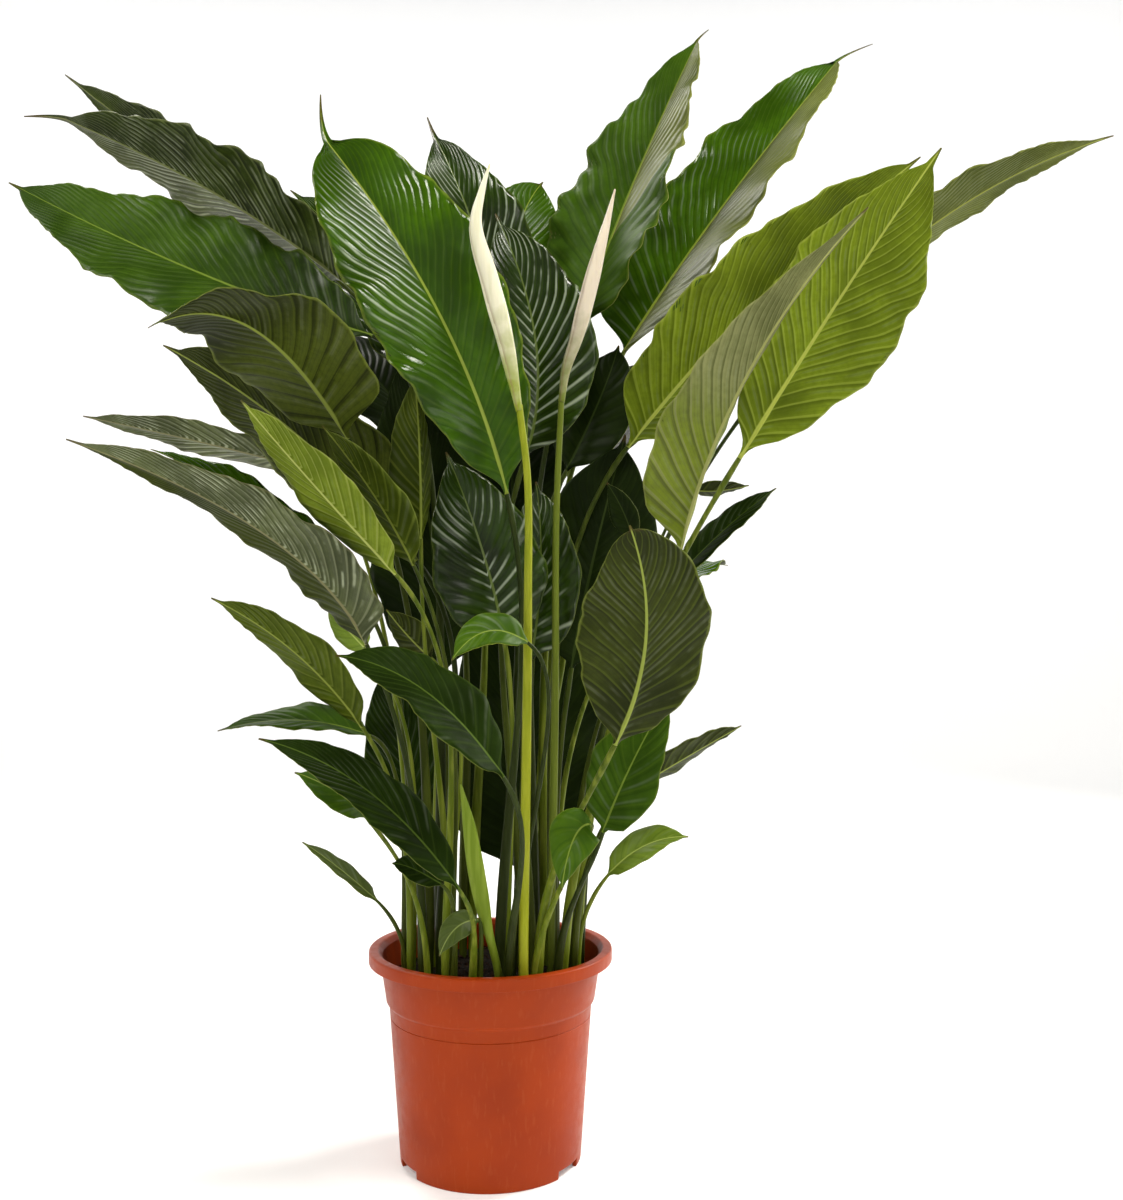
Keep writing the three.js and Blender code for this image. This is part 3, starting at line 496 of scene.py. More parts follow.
# ---- leaves ----
# Each row: name, where the blade starts, its middle and its tip and its width, in millimetres, which
# way its upper side looks, and its tone.
LEAVES = [
    # the top of the fan, left to right
    ("far_left", (-120, 20, 816), (-310, 45, 890), (-505, 60, 985), 150, (0.3, -0.85, 0.45), "dark"),
    ("high_left_front", (-155, 70, 883), (-310, 85, 990), (-480, 90, 1072), 130, (0.2, 0.5, 0.85), "grey"),
    ("high_left_back", (-185, 130, 910), (-330, 150, 1020), (-490, 170, 1145), 95, (0.2, 0.6, 0.75), "grey"),
    ("big_front", (20, -100, 645), (-45, -115, 815), (-162, -90, 990), 135, (0.1, -0.95, 0.3), "green"),
    ("behind_big", (30, 30, 720), (-10, 30, 900), (-65, 45, 1035), 125, (0.2, -0.9, 0.3), "striped"),
    ("centre_mid", (35, -20, 690), (45, -25, 800), (5, -10, 930), 120, (0, -0.95, 0.3), "striped"),
    ("centre_back", (60, 90, 745), (20, 100, 900), (50, 110, 1003), 130, (-0.2, -0.9, 0.3), "green"),
    ("crest", (85, 30, 820), (145, 40, 980), (215, 60, 1140), 165, (-0.5, -0.8, 0.3), "green"),
    ("high_right", (135, 70, 810), (242, 90, 970), (380, 110, 1148), 162, (-0.4, -0.85, 0.35), "green"),
    ("right_upper", (135, -10, 700), (262, -30, 842), (415, -40, 975), 118, (-0.2, 0.8, 0.55), "bright"),
    ("right_big", (235, -80, 680), (325, -105, 825), (408, -130, 950), 148, (-0.2, 0.95, 0.2), "bright"),
    ("right_grey", (175, -130, 590), (230, -175, 742), (326, -200, 874), 104, (-0.1, 0.95, 0.25), "olive"),
    ("far_right", (275, 60, 765), (450, 60, 937), (640, 50, 1030), 85, (-0.2, 0.45, 0.85), "olive"),
    # the left side, from the top down
    ("left_arch", (-130, -70, 700), (-200, -150, 785), (-270, -215, 770), 152, (0.35, 0.8, 0.45), "arched"),
    ("left_rib", (-72, -12, 588), (-190, -12, 712), (-323, -8, 801), 130, (0.3, 0.75, 0.5), "arched"),
    ("left_olive", (-63, -116, 579), (-98, -125, 643), (-143, -130, 703), 50, (0.3, 0.8, 0.4), "mossy"),
    ("left_bright", (-75, -150, 570), (-140, -180, 645), (-200, -190, 715), 58, (0.4, 0.8, 0.4), "bright"),
    ("left_upright", (-60, -85, 605), (-60, -95, 685), (-65, -95, 755), 60, (0, 0.95, 0.15), "mossy"),
    ("left_edge", (-199, 47, 688), (-311, 47, 716), (-423, 47, 740), 50, (0.1, 0.6, 0.75), "dark"),
    ("left_behind", (-150, -50, 585), (-235, -60, 650), (-315, -70, 690), 80, (0.2, -0.3, 0.9), "green"),
    ("left_silver", (-105, -120, 508), (-190, -150, 606), (-355, -170, 685), 86, (0.3, 0.6, 0.7), "olive"),
    ("left_folded", (-115, -80, 430), (-175, -90, 500), (-250, -100, 550), 60, (0.3, 0.75, 0.55), "green"),
    ("left_flat", (-110, -60, 420), (-180, -60, 435), (-255, -60, 425), 55, (0.1, -0.35, 0.95), "green"),
    ("left_low_dark", (-20, -150, 295), (-95, -180, 385), (-185, -190, 430), 50, (0.4, -0.75, 0.5), "satin"),
    ("left_low_bright", (-105, -128, 355), (-131, -136, 379), (-166, -136, 395), 38, (0.3, -0.7, 0.6), "fresh"),
    ("left_tiny", (-105, -60, 265), (-140, -60, 295), (-175, -60, 320), 22, (0.3, -0.5, 0.8), "dull"),
    ("middle_dark", (20, -170, 395), (-45, -190, 470), (-120, -190, 500), 75, (0.3, -0.6, 0.75), "satin"),
    ("yellow_small", (-115, -60, 502), (-132, -60, 520), (-152, -60, 541), 34, (0.3, -0.8, 0.4), "bright"),
    ("olive_small", (-54, -55, 494), (-75, -57, 515), (-96, -57, 540), 40, (0.3, 0.8, 0.4), "olive"),
    ("low_dark", (-39, -112, 291), (-64, -112, 305), (-83, -112, 310), 28, (0.2, -0.7, 0.6), "satin"),
    ("rim_small", (-6, -100, 256), (-26, -112, 251), (-40, -115, 227), 26, (0.3, -0.8, 0.5), "dull"),
    # the middle
    ("centre_dark", (15, -40, 510), (-5, -50, 595), (-40, -50, 690), 110, (0.1, -0.95, 0.3), "striped"),
    ("centre_right", (40, -20, 490), (50, -25, 580), (45, -20, 665), 85, (-0.2, -0.95, 0.2), "striped"),
    ("inner_left", (-50, 28, 472), (-66, 36, 640), (-93, 44, 815), 130, (0.1, -0.95, 0.2), "shaded"),
    ("inner_right", (80, 6, 482), (103, 6, 596), (134, 6, 715), 138, (-0.1, -0.95, 0.2), "shaded"),
    ("front_small", (40, -140, 510), (5, -155, 520), (-25, -160, 495), 38, (0, -0.8, 0.6), "green"),
    ("behind_bloom", (75, 48, 684), (109, 48, 756), (129, 48, 813), 85, (-0.3, -0.9, 0.3), "shaded"),
    ("triangle", (139, -26, 611), (129, -30, 637), (114, -30, 663), 28, (-0.3, -0.9, 0.2), "shaded"),
    # the right side, from the top down
    ("right_dark", (190, 40, 575), (240, 40, 625), (290, 40, 665), 50, (-0.3, -0.5, 0.8), "satin"),
    ("right_grey_small", (210, 60, 665), (235, 60, 665), (265, 60, 670), 30, (-0.1, 0.5, 0.9), "olive"),
    ("round_under", (115, -190, 425), (138, -235, 515), (122, -290, 602), 112, (-0.1, 0.9, 0.4), "olive"),
    ("right_low", (108, -100, 336), (134, -110, 400), (170, -110, 466), 76, (-0.4, -0.8, 0.4), "dark"),
    ("right_thin", (145, -60, 375), (195, -60, 405), (240, -60, 430), 50, (-0.2, 0.5, 0.8), "olive"),
    ("right_small", (115, -40, 285), (150, -50, 315), (190, -60, 325), 42, (-0.1, -0.6, 0.8), "green"),
    ("drooping", (95, -158, 353), (80, -175, 342), (70, -185, 301), 45, (-0.3, -0.9, 0.1), "fresh"),
    # the back, which the front hides
    ("back_top", (-60, 160, 780), (-145, 205, 925), (-253, 250, 1042), 130, (0.3, -0.8, 0.4), "dark"),
    ("back_left_high", (-75, 140, 700), (-150, 215, 815), (-245, 300, 880), 150, (0.4, -0.6, 0.6), "shaded"),
    ("back_left_low", (-70, 112, 262), (-105, 150, 375), (-140, 205, 470), 95, (0.2, -0.8, 0.5), "satin"),
    ("back_mid_high", (20, 140, 600), (8, 240, 790), (0, 390, 900), 145, (0, -0.7, 0.7), "shaded"),
    ("back_mid_low", (30, 125, 250), (30, 170, 420), (25, 215, 600), 180, (0, -0.85, 0.5), "shaded"),
    ("back_right_high", (110, 130, 690), (190, 240, 810), (280, 340, 860), 140, (-0.4, -0.6, 0.6), "shaded"),
    ("back_right_low", (120, 130, 490), (195, 205, 575), (272, 280, 596), 115, (-0.4, -0.5, 0.7), "green"),
]

# A tone's slot in the record, the skin of the upper side and the skin of the underside.
TONES = {
    "dark": ("leaf_dark", "dark", "olive"),
    "striped": ("leaf_dark", "striped", "olive"),
    "satin": ("leaf_dark", "satin", "olive"),
    "shaded": ("leaf_dark", "shaded", "olive"),
    "green": ("leaf_green", "green", "olive"),
    "fresh": ("leaf_green", "fresh", "olive"),
    "bright": ("leaf_bright", "green", "bright"),
    "olive": ("leaf_olive", "dark", "olive"),
    "grey": ("leaf_olive", "dark", "grey"),
    "arched": ("leaf_olive", "dark", "arched"),
    "mossy": ("leaf_olive", "green", "mossy"),
    "dull": ("leaf_olive", "dull", "olive"),
}

# What a row doesn't say: fold is how far each half stands up, in degrees; belly is how far along
# the blade is widest; face_tip turns the blade towards its tip; body is the share of the blade
# before its thin tail, and hook is how far that tail bends; full is the power of its outline, fuller
# where it is low; sides scales the width of its left and right halves; ripple is the height of the
# short waves of its margin in millimetres; rind picks its stem's rind, which is otherwise drawn;
# skins names its two sides where they aren't its tone's; and turned is the underside that its right
# half shows on both faces, and from where along it, as where that half has rolled over.
EXTRAS = {
    "far_left": {"belly": 0.48, "body": 0.97, "ripple": 1.6, "skins": ("far", "olive")},
    "high_left_front": {"body": 0.93, "hook": (-22, 0, -6), "ripple": 2.2, "turned": ("silver", 0.15)},
    "high_left_back": {"ripple": 2.2},
    "big_front": {
        "belly": 0.6, "body": 0.93, "full": 0.45, "hook": (10, 0, 24), "ripple": 1.8,
        "skins": ("front", "olive"),
    },
    "behind_big": {"hook": (-3, 0, 12)},
    "centre_mid": {"belly": 0.5},
    "centre_back": {"belly": 0.55, "body": 0.98},
    "crest": {
        "fold": (5, 34), "belly": 0.36, "body": 0.97, "hook": (8, 0, 4), "sides": (1, 1.16), "ripple": 3.4,
        "skins": ("leafy", "pale"), "turned": ("pale", 0.3),
    },
    "high_right": {
        "fold": (5, 40), "belly": 0.42, "full": 0.5, "hook": (26, 0, 4), "sides": (1, 1.2), "ripple": 1.6,
        "skins": ("green", "pale"), "turned": ("pale", 0),
    },
    "right_upper": {"belly": 0.4, "body": 0.97, "ripple": 2.4},
    "right_big": {"belly": 0.5, "full": 0.85, "fold": (8, 52), "rind": 0},
    "right_grey": {
        "fold": (75, 5), "belly": 0.27, "full": 1.1, "body": 0.97, "skins": ("dark", "ashen"), "rind": 0,
    },
    "far_right": {"skins": ("dark", "pale")},
    "left_arch": {"face_tip": (0, 0.2, 1), "belly": 0.35, "full": 0.72, "body": 0.97, "fold": (3, 12)},
    "left_bright": {"skins": ("green", "lime")},
    "left_upright": {"fold": (78, 10)},
    "left_edge": {"skins": ("dark", "silver")},
    "left_silver": {
        "belly": 0.33, "body": 0.97, "sides": (1.1, 0.9),
        "skins": ("green", "silver"), "turned": ("olive", 0),
    },
    "left_folded": {"skins": ("green", "mossy")},
    "left_flat": {"skins": ("leafy", "olive")},
    "yellow_small": {"skins": ("bright", "bright")},
    "inner_left": {"fold": (6, 6)},
    "inner_right": {"fold": (6, 6)},
    "front_small": {"skins": ("fresh", "bright")},
    "behind_bloom": {"fold": (6, 6)},
    "round_under": {"belly": 0.5, "body": 0.98, "full": 0.6, "rind": 0},
    "right_low": {"skins": ("leafy", "olive")},
    "right_small": {"skins": ("bright", "olive")},
    "back_mid_low": {"full": 0.45},
}

BROAD_WIDTH = 130  # from this width on a stem is at its thickest; a midrib keeps growing past it
SMALL_WIDTH = 60  # up to this width a margin has only low waves
SLIM_WIDTH = 45  # up to this width a stem hardly swells where it is a sheath
STEM_FOOT = 185.0  # the height where a stem's curve starts, just above the soil
STEM_SUNK = 164.0  # the height where it ends in the soil
COLLAR = 0.1  # the share of the blade in which its section grows out of the stem's
COLUMN_POWER = 1.3  # above 1, a blade's columns stand closer at the midrib than at its margins
SIDE_LEAD = 2.4  # how far the waves of the left margin are ahead of those of the right, in radians


def seeded(seed):
    """A repeatable random number from 0 to 1 for each call."""
    state = [seed]

    def draw():
        state[0] = state[0] * 16807 % 2147483647
        return state[0] / 2147483647

    return draw


def read_leaves(settings):
    """The rows and extras as one dictionary for each leaf."""
    draw = seeded(7)
    leaves = []
    for name, base, mid, tip, width, face, tone in LEAVES:
        slot, upper, under = TONES[tone]
        share = min(1, width / BROAD_WIDTH)
        leaf = {
            "name": name,
            "curve": (base, [2 * m - (b + t) / 2 for b, m, t in zip(base, mid, tip)], tip),
            "width": width,
            "face": face,
            "face_tip": face,
            "hook": (0, 0, 0),
            "body": 0.95,
            "belly": 0.42,
            "full": 0.7,
            "fold": (settings.fold, settings.fold),
            "sides": (1, 1),
            "turned": (None, 1),
            "ripple": 1.0 if width > SMALL_WIDTH else 0.6,
            "phase": TAU * draw(),
            "rind": int(len(STEM_RINDS) * draw()),
            "stem": 2.2 + 1.8 * share,
            "neck": 1.1 + 1.2 * share,
            "skins": (upper, under),
            "slot": slot,
        }
        leaf.update(EXTRAS.get(name, {}))
        leaves.append(leaf)
    return leaves


def stem_foot(name):
    """Where the solid's stem leaves the soil, in millimetres: the middle of its lowest ring."""
    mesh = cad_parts[name].data
    points = np.empty(len(mesh.vertices) * 3)
    mesh.vertices.foreach_get("co", points)
    points = points.reshape(-1, 3)
    ring = points[points[:, 2] < points[:, 2].min() + 0.5 * MM]
    return (ring.min(0) + ring.max(0)) / 2 / MM


def blade_frame(leaf, u):
    """The middle line at u, its thin tail bent by the hook, and the two directions across it: to the
    right, and up out of the upper side."""
    points, tangents = curve_points(leaf["curve"], u.ravel())
    points, tangents = points.reshape(u.shape + (3,)), tangents.reshape(u.shape + (3,))
    tail = np.maximum(0, (u - leaf["body"]) / (1 - leaf["body"])) ** 2
    points += tail[..., None] * np.array(leaf["hook"], float)
    face, face_tip = (unit(np.array(leaf[key], float)) for key in ("face", "face_tip"))
    normals = across(face + (face_tip - face) * u[..., None], tangents)
    return points, np.cross(tangents, normals), normals


def blade_width(leaf, u, left, turns):
    """Half the blade's width at u, and its share of the full one. The share is a power of a half sine
    that is 1 at the belly and 0 where the body ends. The width is a little uneven, and past the body
    it is a taper of 0.42 of the width times 1 - u, down to a thin tail."""
    swell = math.log(0.5) / math.log(leaf["belly"])
    share = np.maximum(np.sin(np.pi * np.minimum(u / leaf["body"], 1) ** swell), 0) ** leaf["full"]
    taper = 0.42 * leaf["width"] * (1 - u) * smoothstep(u, 0.75, 0.88)
    uneven = 1 + 0.03 * np.sin(1.7 * turns) + 0.008 * np.sin(4.3 * turns + 1)
    half_width = leaf["width"] / 2 * np.where(left, *leaf["sides"])
    return np.maximum(half_width * share * uneven, 1.4 - 0.7 * u + taper), share


def blade_faces(rows, half, turned_from):
    """Faces of a blade whose rings run over its top and back under it, with a strip that closes each
    end, and the skin of each: 0 on top, 1 below, and 3 on both faces of a turned right half."""
    columns = 2 * half + 1
    count = 2 * columns
    quads = grid_faces(rows, count, closed=True)
    row, column = quads[:, 0] // count, quads[:, 0] % count
    under = column >= columns - 1
    right = np.where(under, 2 * columns - 2 - column, column) >= half
    turned = right & (row >= turned_from * (rows - 1))
    j = np.arange(columns - 1)
    strip = np.stack([j, j + 1, count - 2 - j, count - 1 - j], -1)
    quads = np.concatenate([quads, strip[:, [0, 3, 2, 1]], strip + (rows - 1) * count])
    skin = np.where(turned, 3, np.where(under, 1, 0))
    return quads, np.concatenate([skin, np.ones(2 * len(strip), int)])


def blade_mesh(leaf, settings):
    """The blade as a thin closed skin. Rows follow the side veins and columns run from margin to
    margin. The row that leaves the midrib at t is at u = 1 - (1-t)^(1 + sweep * g) at the side place
    v, where g = 0.75|v| + 0.25v^2, so that the veins leave the midrib at an acute angle. There the
    blade stands off the midrib by |v| times half its width, tilted by its fold, and is raised by the
    waves of its margin and by |sin| pleats between the veins."""
    base, control, tip = (np.array(p, float) for p in leaf["curve"])
    length = sum(np.linalg.norm(leg) for leg in (control - base, tip - control, tip - base)) / 2
    veins = max(6, length / settings.vein_pitch)
    rows = int(veins * settings.rows_per_vein) + 1
    half = int(np.clip(leaf["width"] / 2 / settings.column_width, 5, 18))
    columns = 2 * half + 1
    t = np.linspace(0, 1, rows)[:, None]
    v = np.linspace(-1, 1, columns)
    v = (np.sign(v) * np.abs(v) ** COLUMN_POWER)[None, :]
    side_v, left, phase = np.abs(v), v < 0, leaf["phase"]
    u = 1 - (1 - t) ** (1 + settings.vein_sweep * (0.75 * side_v + 0.25 * side_v**2))
    turns = TAU * length / settings.wave_pitch * u + phase + np.where(left, SIDE_LEAD, 0)
    width, share = blade_width(leaf, u, left, turns)
    reach = side_v * width
    # the section: steps outwards from the midrib, each tilted by the fold
    fold = np.radians(np.where(left, *leaf["fold"]))
    x, z = np.zeros_like(u), np.zeros_like(u)
    for outwards in (slice(half, None), slice(half, None, -1)):
        step, tilt = np.diff(reach[:, outwards], axis=1), fold[:, outwards]
        between = (tilt[:, 1:] + tilt[:, :-1]) / 2
        x[:, outwards][:, 1:] = np.cumsum(step * np.cos(between), axis=1)
        z[:, outwards][:, 1:] = np.cumsum(step * np.sin(between), axis=1)
    x *= np.where(left, -1, 1)
    # the long and the short waves of the margin, its droop, and the pleats
    z += leaf["width"] * settings.wave_share * share * side_v**2 * np.sin(turns)
    z += leaf["ripple"] * share * side_v**4 * np.sin(3.1 * turns + 2 * phase)
    z -= settings.droop * reach * side_v
    vein = t * veins + np.where(left, 0.5, 0) + 0.3 * np.sin(5 * t + phase)
    rise = smoothstep(reach, 1.5, 8) * (0.7 + 0.3 * np.sin(9 * t + 3 * side_v + phase))
    pleat = settings.pleat_height / MM * rise * np.abs(np.sin(np.pi * vein)) * np.minimum(1, 2 * share)
    # the two faces, laid off across the tilted blade, and a round ridge under the midrib; near the
    # stem both run into its round section
    points, sides, normals = blade_frame(leaf, u)
    lean_x, lean_z = -np.sin(fold) * np.where(left, -1, 1), np.cos(fold)
    thick = settings.blade_thickness / MM / 2
    ridge_half = 0.6 + 2.4 * (1 - u) * leaf["width"] / BROAD_WIDTH
    ridge = np.sqrt(np.maximum(0, 1 - (reach / ridge_half) ** 2)) * 0.9 * ridge_half
    ridge *= np.minimum(1, 4 * share)
    turn = np.pi - (np.arange(columns) + 0.5) * np.pi / columns
    collar = 1 - smoothstep(u, 0, COLLAR)
    faces = []
    for side, depth in ((1, 0), (-1, ridge)):
        face_x = x + lean_x * (pleat + side * thick)
        face_z = z + lean_z * (pleat + side * thick) - depth
        face_x += (leaf["neck"] * np.cos(turn) - face_x) * collar
        face_z += (side * leaf["neck"] * np.sin(turn) - face_z) * collar
        faces.append(points + sides * face_x[..., None] + normals * face_z[..., None])
    rings = np.concatenate([faces[0], faces[1][:, ::-1]], 1)

    def doubled(values):
        values = np.broadcast_to(values, u.shape)
        return np.concatenate([values, values[:, ::-1]], 1).ravel()

    off_rib = reach / (0.5 + 1.7 * (1 - u) * leaf["width"] / BROAD_WIDTH)
    fields = {"vein": vein, "rib": off_rib, "along": u, "edge": side_v, "side": v}
    fields = {name: doubled(values) for name, values in fields.items()}
    return rings.reshape(-1, 3), *blade_faces(rows, half, leaf["turned"][1]), fields


def stem_mesh(leaf, foot):
    """The stem: a rod straight up out of the soil, then on a cubic curve into the blade's own line,
    swollen low down, where a real one is a sheath round the next stem, and thinning to a joint
    under the blade."""
    base, control, _ = (np.array(p, float) for p in leaf["curve"])
    start = unit(control - base)
    low = np.array([foot[0], foot[1], STEM_FOOT])
    reach = np.linalg.norm(base - low)
    neck_reach = 0.35 * reach * max(0.2, float(unit(base - low) @ start))
    u = np.linspace(0, 1, 44)
    points, tangents = curve_points((low, low + (0, 0, 0.4 * reach), base - start * neck_reach, base), u)
    sheath = 0.4 if leaf["width"] > SLIM_WIDTH else 0.2
    joint = 18 / max(60.0, reach)
    radii = leaf["stem"] + (leaf["neck"] - leaf["stem"]) * u
    radii += leaf["stem"] * sheath * smoothstep(u, 0.01, 0.08) * (1 - smoothstep(u, 0.12, 0.6))
    radii += leaf["neck"] * 0.28 * np.exp(-(((u - 1 + 1.3 * joint) / joint) ** 2))
    sunk = np.array([[foot[0], foot[1], STEM_SUNK]])
    points = np.concatenate([sunk, points, base[None] + start[None] * 3])
    tangents = np.concatenate([[(0, 0, 1)], tangents, tangents[-1:]])
    radii = np.concatenate([[leaf["stem"]], radii, [leaf["neck"] * 0.7]])
    normals = carried_normals(leaf["face"], tangents, backwards=True)
    count = 12
    points, quads = tube(points, tangents, normals, radii, count)
    along = np.concatenate([[0], u, [1]])
    return points, quads, np.concatenate([np.repeat(along, count), [0, 1]])


def make_leaf(leaf, settings, uppers, unders, rinds):
    """One leaf, blade and stem, in place of its solid."""
    node = "leaf_" + leaf["name"]
    blade, blade_quads, skin, fields = blade_mesh(leaf, settings)
    stem, stem_quads, along = stem_mesh(leaf, stem_foot(node))
    points = np.concatenate([blade, stem]) * MM
    quads = np.concatenate([blade_quads, stem_quads + len(blade)])
    skin = np.concatenate([skin, np.full(len(stem_quads), 2)])
    stem_fields = {"along": along}
    for name, values in fields.items():
        fields[name] = np.concatenate([values, stem_fields.get(name, np.zeros(len(stem)))])
    upper, under = leaf["skins"]
    turned = leaf["turned"][0] or under
    materials = [uppers[upper], unders[under], rinds[leaf["rind"]], unders[turned]]
    piece = make_piece(leaf["name"] + "_leaf", points, quads, materials, skin, fields)
    place_on_part(piece, node)


# ---- stalks, blooms and the rolled leaf ----
# The points that each rod runs through and its radii from foot to tip, in millimetres.
STALKS = {
    "left": [
        (35, -87, 164), (35, -87, 235), (38, -105, 405), (40, -125, 550), (40, -140, 655), (33, -149, 718),
    ],
    "right": [(60, -45, 164), (60, -45, 235), (64, -48, 455), (65, -55, 625), (70, -60, 741)],
}
STALK_RADII = {"left": [4.6, 4.6, 4.4, 4, 3.4, 3], "right": [4, 4, 3.6, 3.2, 2.8]}
BLOOMS = {
    "left": [
        (33, -149, 713), (21, -152, 775), (8, -152, 825), (-5, -150, 875), (0, -148, 905), (7, -145, 930),
    ],
    "right": [
        (70, -60, 736), (74, -62, 765), (84, -65, 795), (95, -68, 835), (108, -72, 885), (120, -75, 932),
    ],
}
BLOOM_RADII = {"left": [3.1, 6, 7.8, 7, 4.5, 0.7], "right": [2.9, 4.6, 6.8, 6.4, 4, 0.7]}
SHEATH = [(12, -79, 164), (12, -79, 195), (0, -92, 255), (-8, -98, 300), (-15, -100, 345), (-22, -100, 380)]
SHEATH_RADII = [3.5, 3.6, 3.8, 7.5, 8, 6, 0.7]
EVEN_SPAN = 9  # rows over which a rod's radius is evened out


def spline(points, count):
    """A smooth curve through the points: a centripetal Catmull-Rom spline at count even places, and
    its unit tangents."""
    p = np.array(points, float)
    p = np.concatenate([2 * p[:1] - p[1:2], p, 2 * p[-1:] - p[-2:-1]])
    knots = np.concatenate([[0], np.cumsum(np.sqrt(np.linalg.norm(np.diff(p, axis=0), axis=1)))])
    fine = np.linspace(knots[1], knots[-2], 600)
    i = np.clip(np.searchsorted(knots, fine, side="right") - 1, 1, len(p) - 3)
    k = [knots[i + n][:, None] for n in (-1, 0, 1, 2)]
    q = [p[i + n] for n in (-1, 0, 1, 2)]
    x = fine[:, None]
    near = [(q[n] * (k[n + 1] - x) + q[n + 1] * (x - k[n])) / (k[n + 1] - k[n]) for n in range(3)]
    wide = [(near[n] * (k[n + 2] - x) + near[n + 1] * (x - k[n])) / (k[n + 2] - k[n]) for n in range(2)]
    path = (wide[0] * (k[2] - x) + wide[1] * (x - k[1])) / (k[2] - k[1])
    run = np.concatenate([[0], np.cumsum(np.linalg.norm(np.diff(path, axis=0), axis=1))])
    even = np.linspace(0, run[-1], count)
    places = np.stack([np.interp(even, run, path[:, n]) for n in range(3)], -1)
    return places, unit(np.gradient(places, axis=0))


def furled_turn(u, angle):
    """How far round a roll a place lies, from its outer margin, which winds slowly round it."""
    return (angle - 2.2 - 1.6 * u) % TAU / TAU


def furled_outline(u, angle):
    """The outline of a rolled sheet: an oval whose radius falls from the outer margin to the inner
    one, where it steps back up."""
    step = 1.08 - 0.16 * furled_turn(u, angle)
    oval = 1 + 0.12 * np.cos(2 * (angle - 0.4))
    return 1 + (step * oval - 1) * smoothstep(u, 0.02, 0.2) * (1 - smoothstep(u, 0.9, 1))


def folded_outline(u, angle):
    """The outline of a folded young leaf: a flat oval, wider than it is thick."""
    oval = 1 / np.sqrt(np.cos(angle) ** 2 + np.sin(angle) ** 2 / 0.36)
    return 1 + (oval - 1) * smoothstep(u, 0.3, 0.5)


def round_outline(u, angle):
    """The outline of a round rod."""
    return np.ones(np.broadcast_shapes(u.shape, angle.shape))


def make_rod(name, points, radii, outline, material, slot, node, count, rows):
    """A rod through the points whose radius follows radii and whose outline scales each ring, in place
    of its solid. Its attribute along runs from foot to tip, and turn from 0 to 1 round it, from the
    roll's margin."""
    centres, tangents = spline(points, rows)
    normals = carried_normals((0, -1, 0), tangents)
    u = np.linspace(0, 1, rows)
    size = np.interp(u, np.linspace(0, 1, len(radii)), radii)
    padded = np.pad(size, EVEN_SPAN // 2, mode="edge")
    size = np.convolve(padded, np.ones(EVEN_SPAN) / EVEN_SPAN, mode="valid")
    size[0], size[-1] = radii[0], radii[-1]
    grid = u[:, None], (np.arange(count) * TAU / count)[None, :]
    mesh, quads = tube(centres, tangents, normals, size, count, outline(*grid))
    fields = {
        "along": np.concatenate([np.repeat(u, count), [0, 1]]),
        "turn": np.concatenate([furled_turn(*grid).ravel(), [0.5, 0.5]]),
    }
    piece = make_piece(name, mesh * MM, quads, [material], fields=fields)
    place_on_part(piece, node)


# ---- the pot ----
# Sizes of the pot and its soil in millimetres, and the notches' angles in degrees.
POT_HEIGHT = 207
RIM_RADIUS = 120
RIM_DROP = 12
RIM_INNER_RADIUS = 111
RIM_WALL = 1.8
BAND_TOP = POT_HEIGHT - RIM_DROP
BAND_TOP_RADIUS = 108.5
BAND_FOOT = BAND_TOP - 38
BAND_FOOT_RADIUS = 103
BODY_TOP = BAND_FOOT - 3
BODY_TOP_RADIUS = 100
LINE_DROP = 12
FOOT_RADIUS = 89
FOOT_WIDTH = 4
FLOOR_LIFT = 8
PAD_RADIUS = 30
WALL = 2
FLOOR = FLOOR_LIFT + WALL
LEAN = (BODY_TOP_RADIUS - FOOT_RADIUS) / BODY_TOP
NOTCH_WIDTH = 34
NOTCH_HEIGHT = 7.5
NOTCH_ANGLES = (-30, 90, 210)
SOIL_TOP = 180
SOIL_RADIUS = 101.6
SOIL_GAP = 0.3
SOIL_COLUMNS = 180
CRUMB_REACH = 96
CRUMB_LENGTH = (1.5, 4.5)
CRUMB_THICKNESS = (0.7, 1.8)


def rounded(corners, steps=6):
    """A profile through corners (r, z, rounding): each corner becomes a short quadratic curve that
    starts and ends its rounding away."""
    made = []
    for i, (r, z, rounding) in enumerate(corners):
        here = np.array([r, z], float)
        if rounding == 0 or i in (0, len(corners) - 1):
            made.append(here[None])
            continue
        before, after = (np.array(corners[k][:2], float) for k in (i - 1, i + 1))
        start, end = here + unit(before - here) * rounding, here + unit(after - here) * rounding
        t = np.linspace(0, 1, steps)[:, None]
        made.append((1 - t) ** 2 * start + 2 * t * (1 - t) * here + t**2 * end)
    return np.concatenate(made)


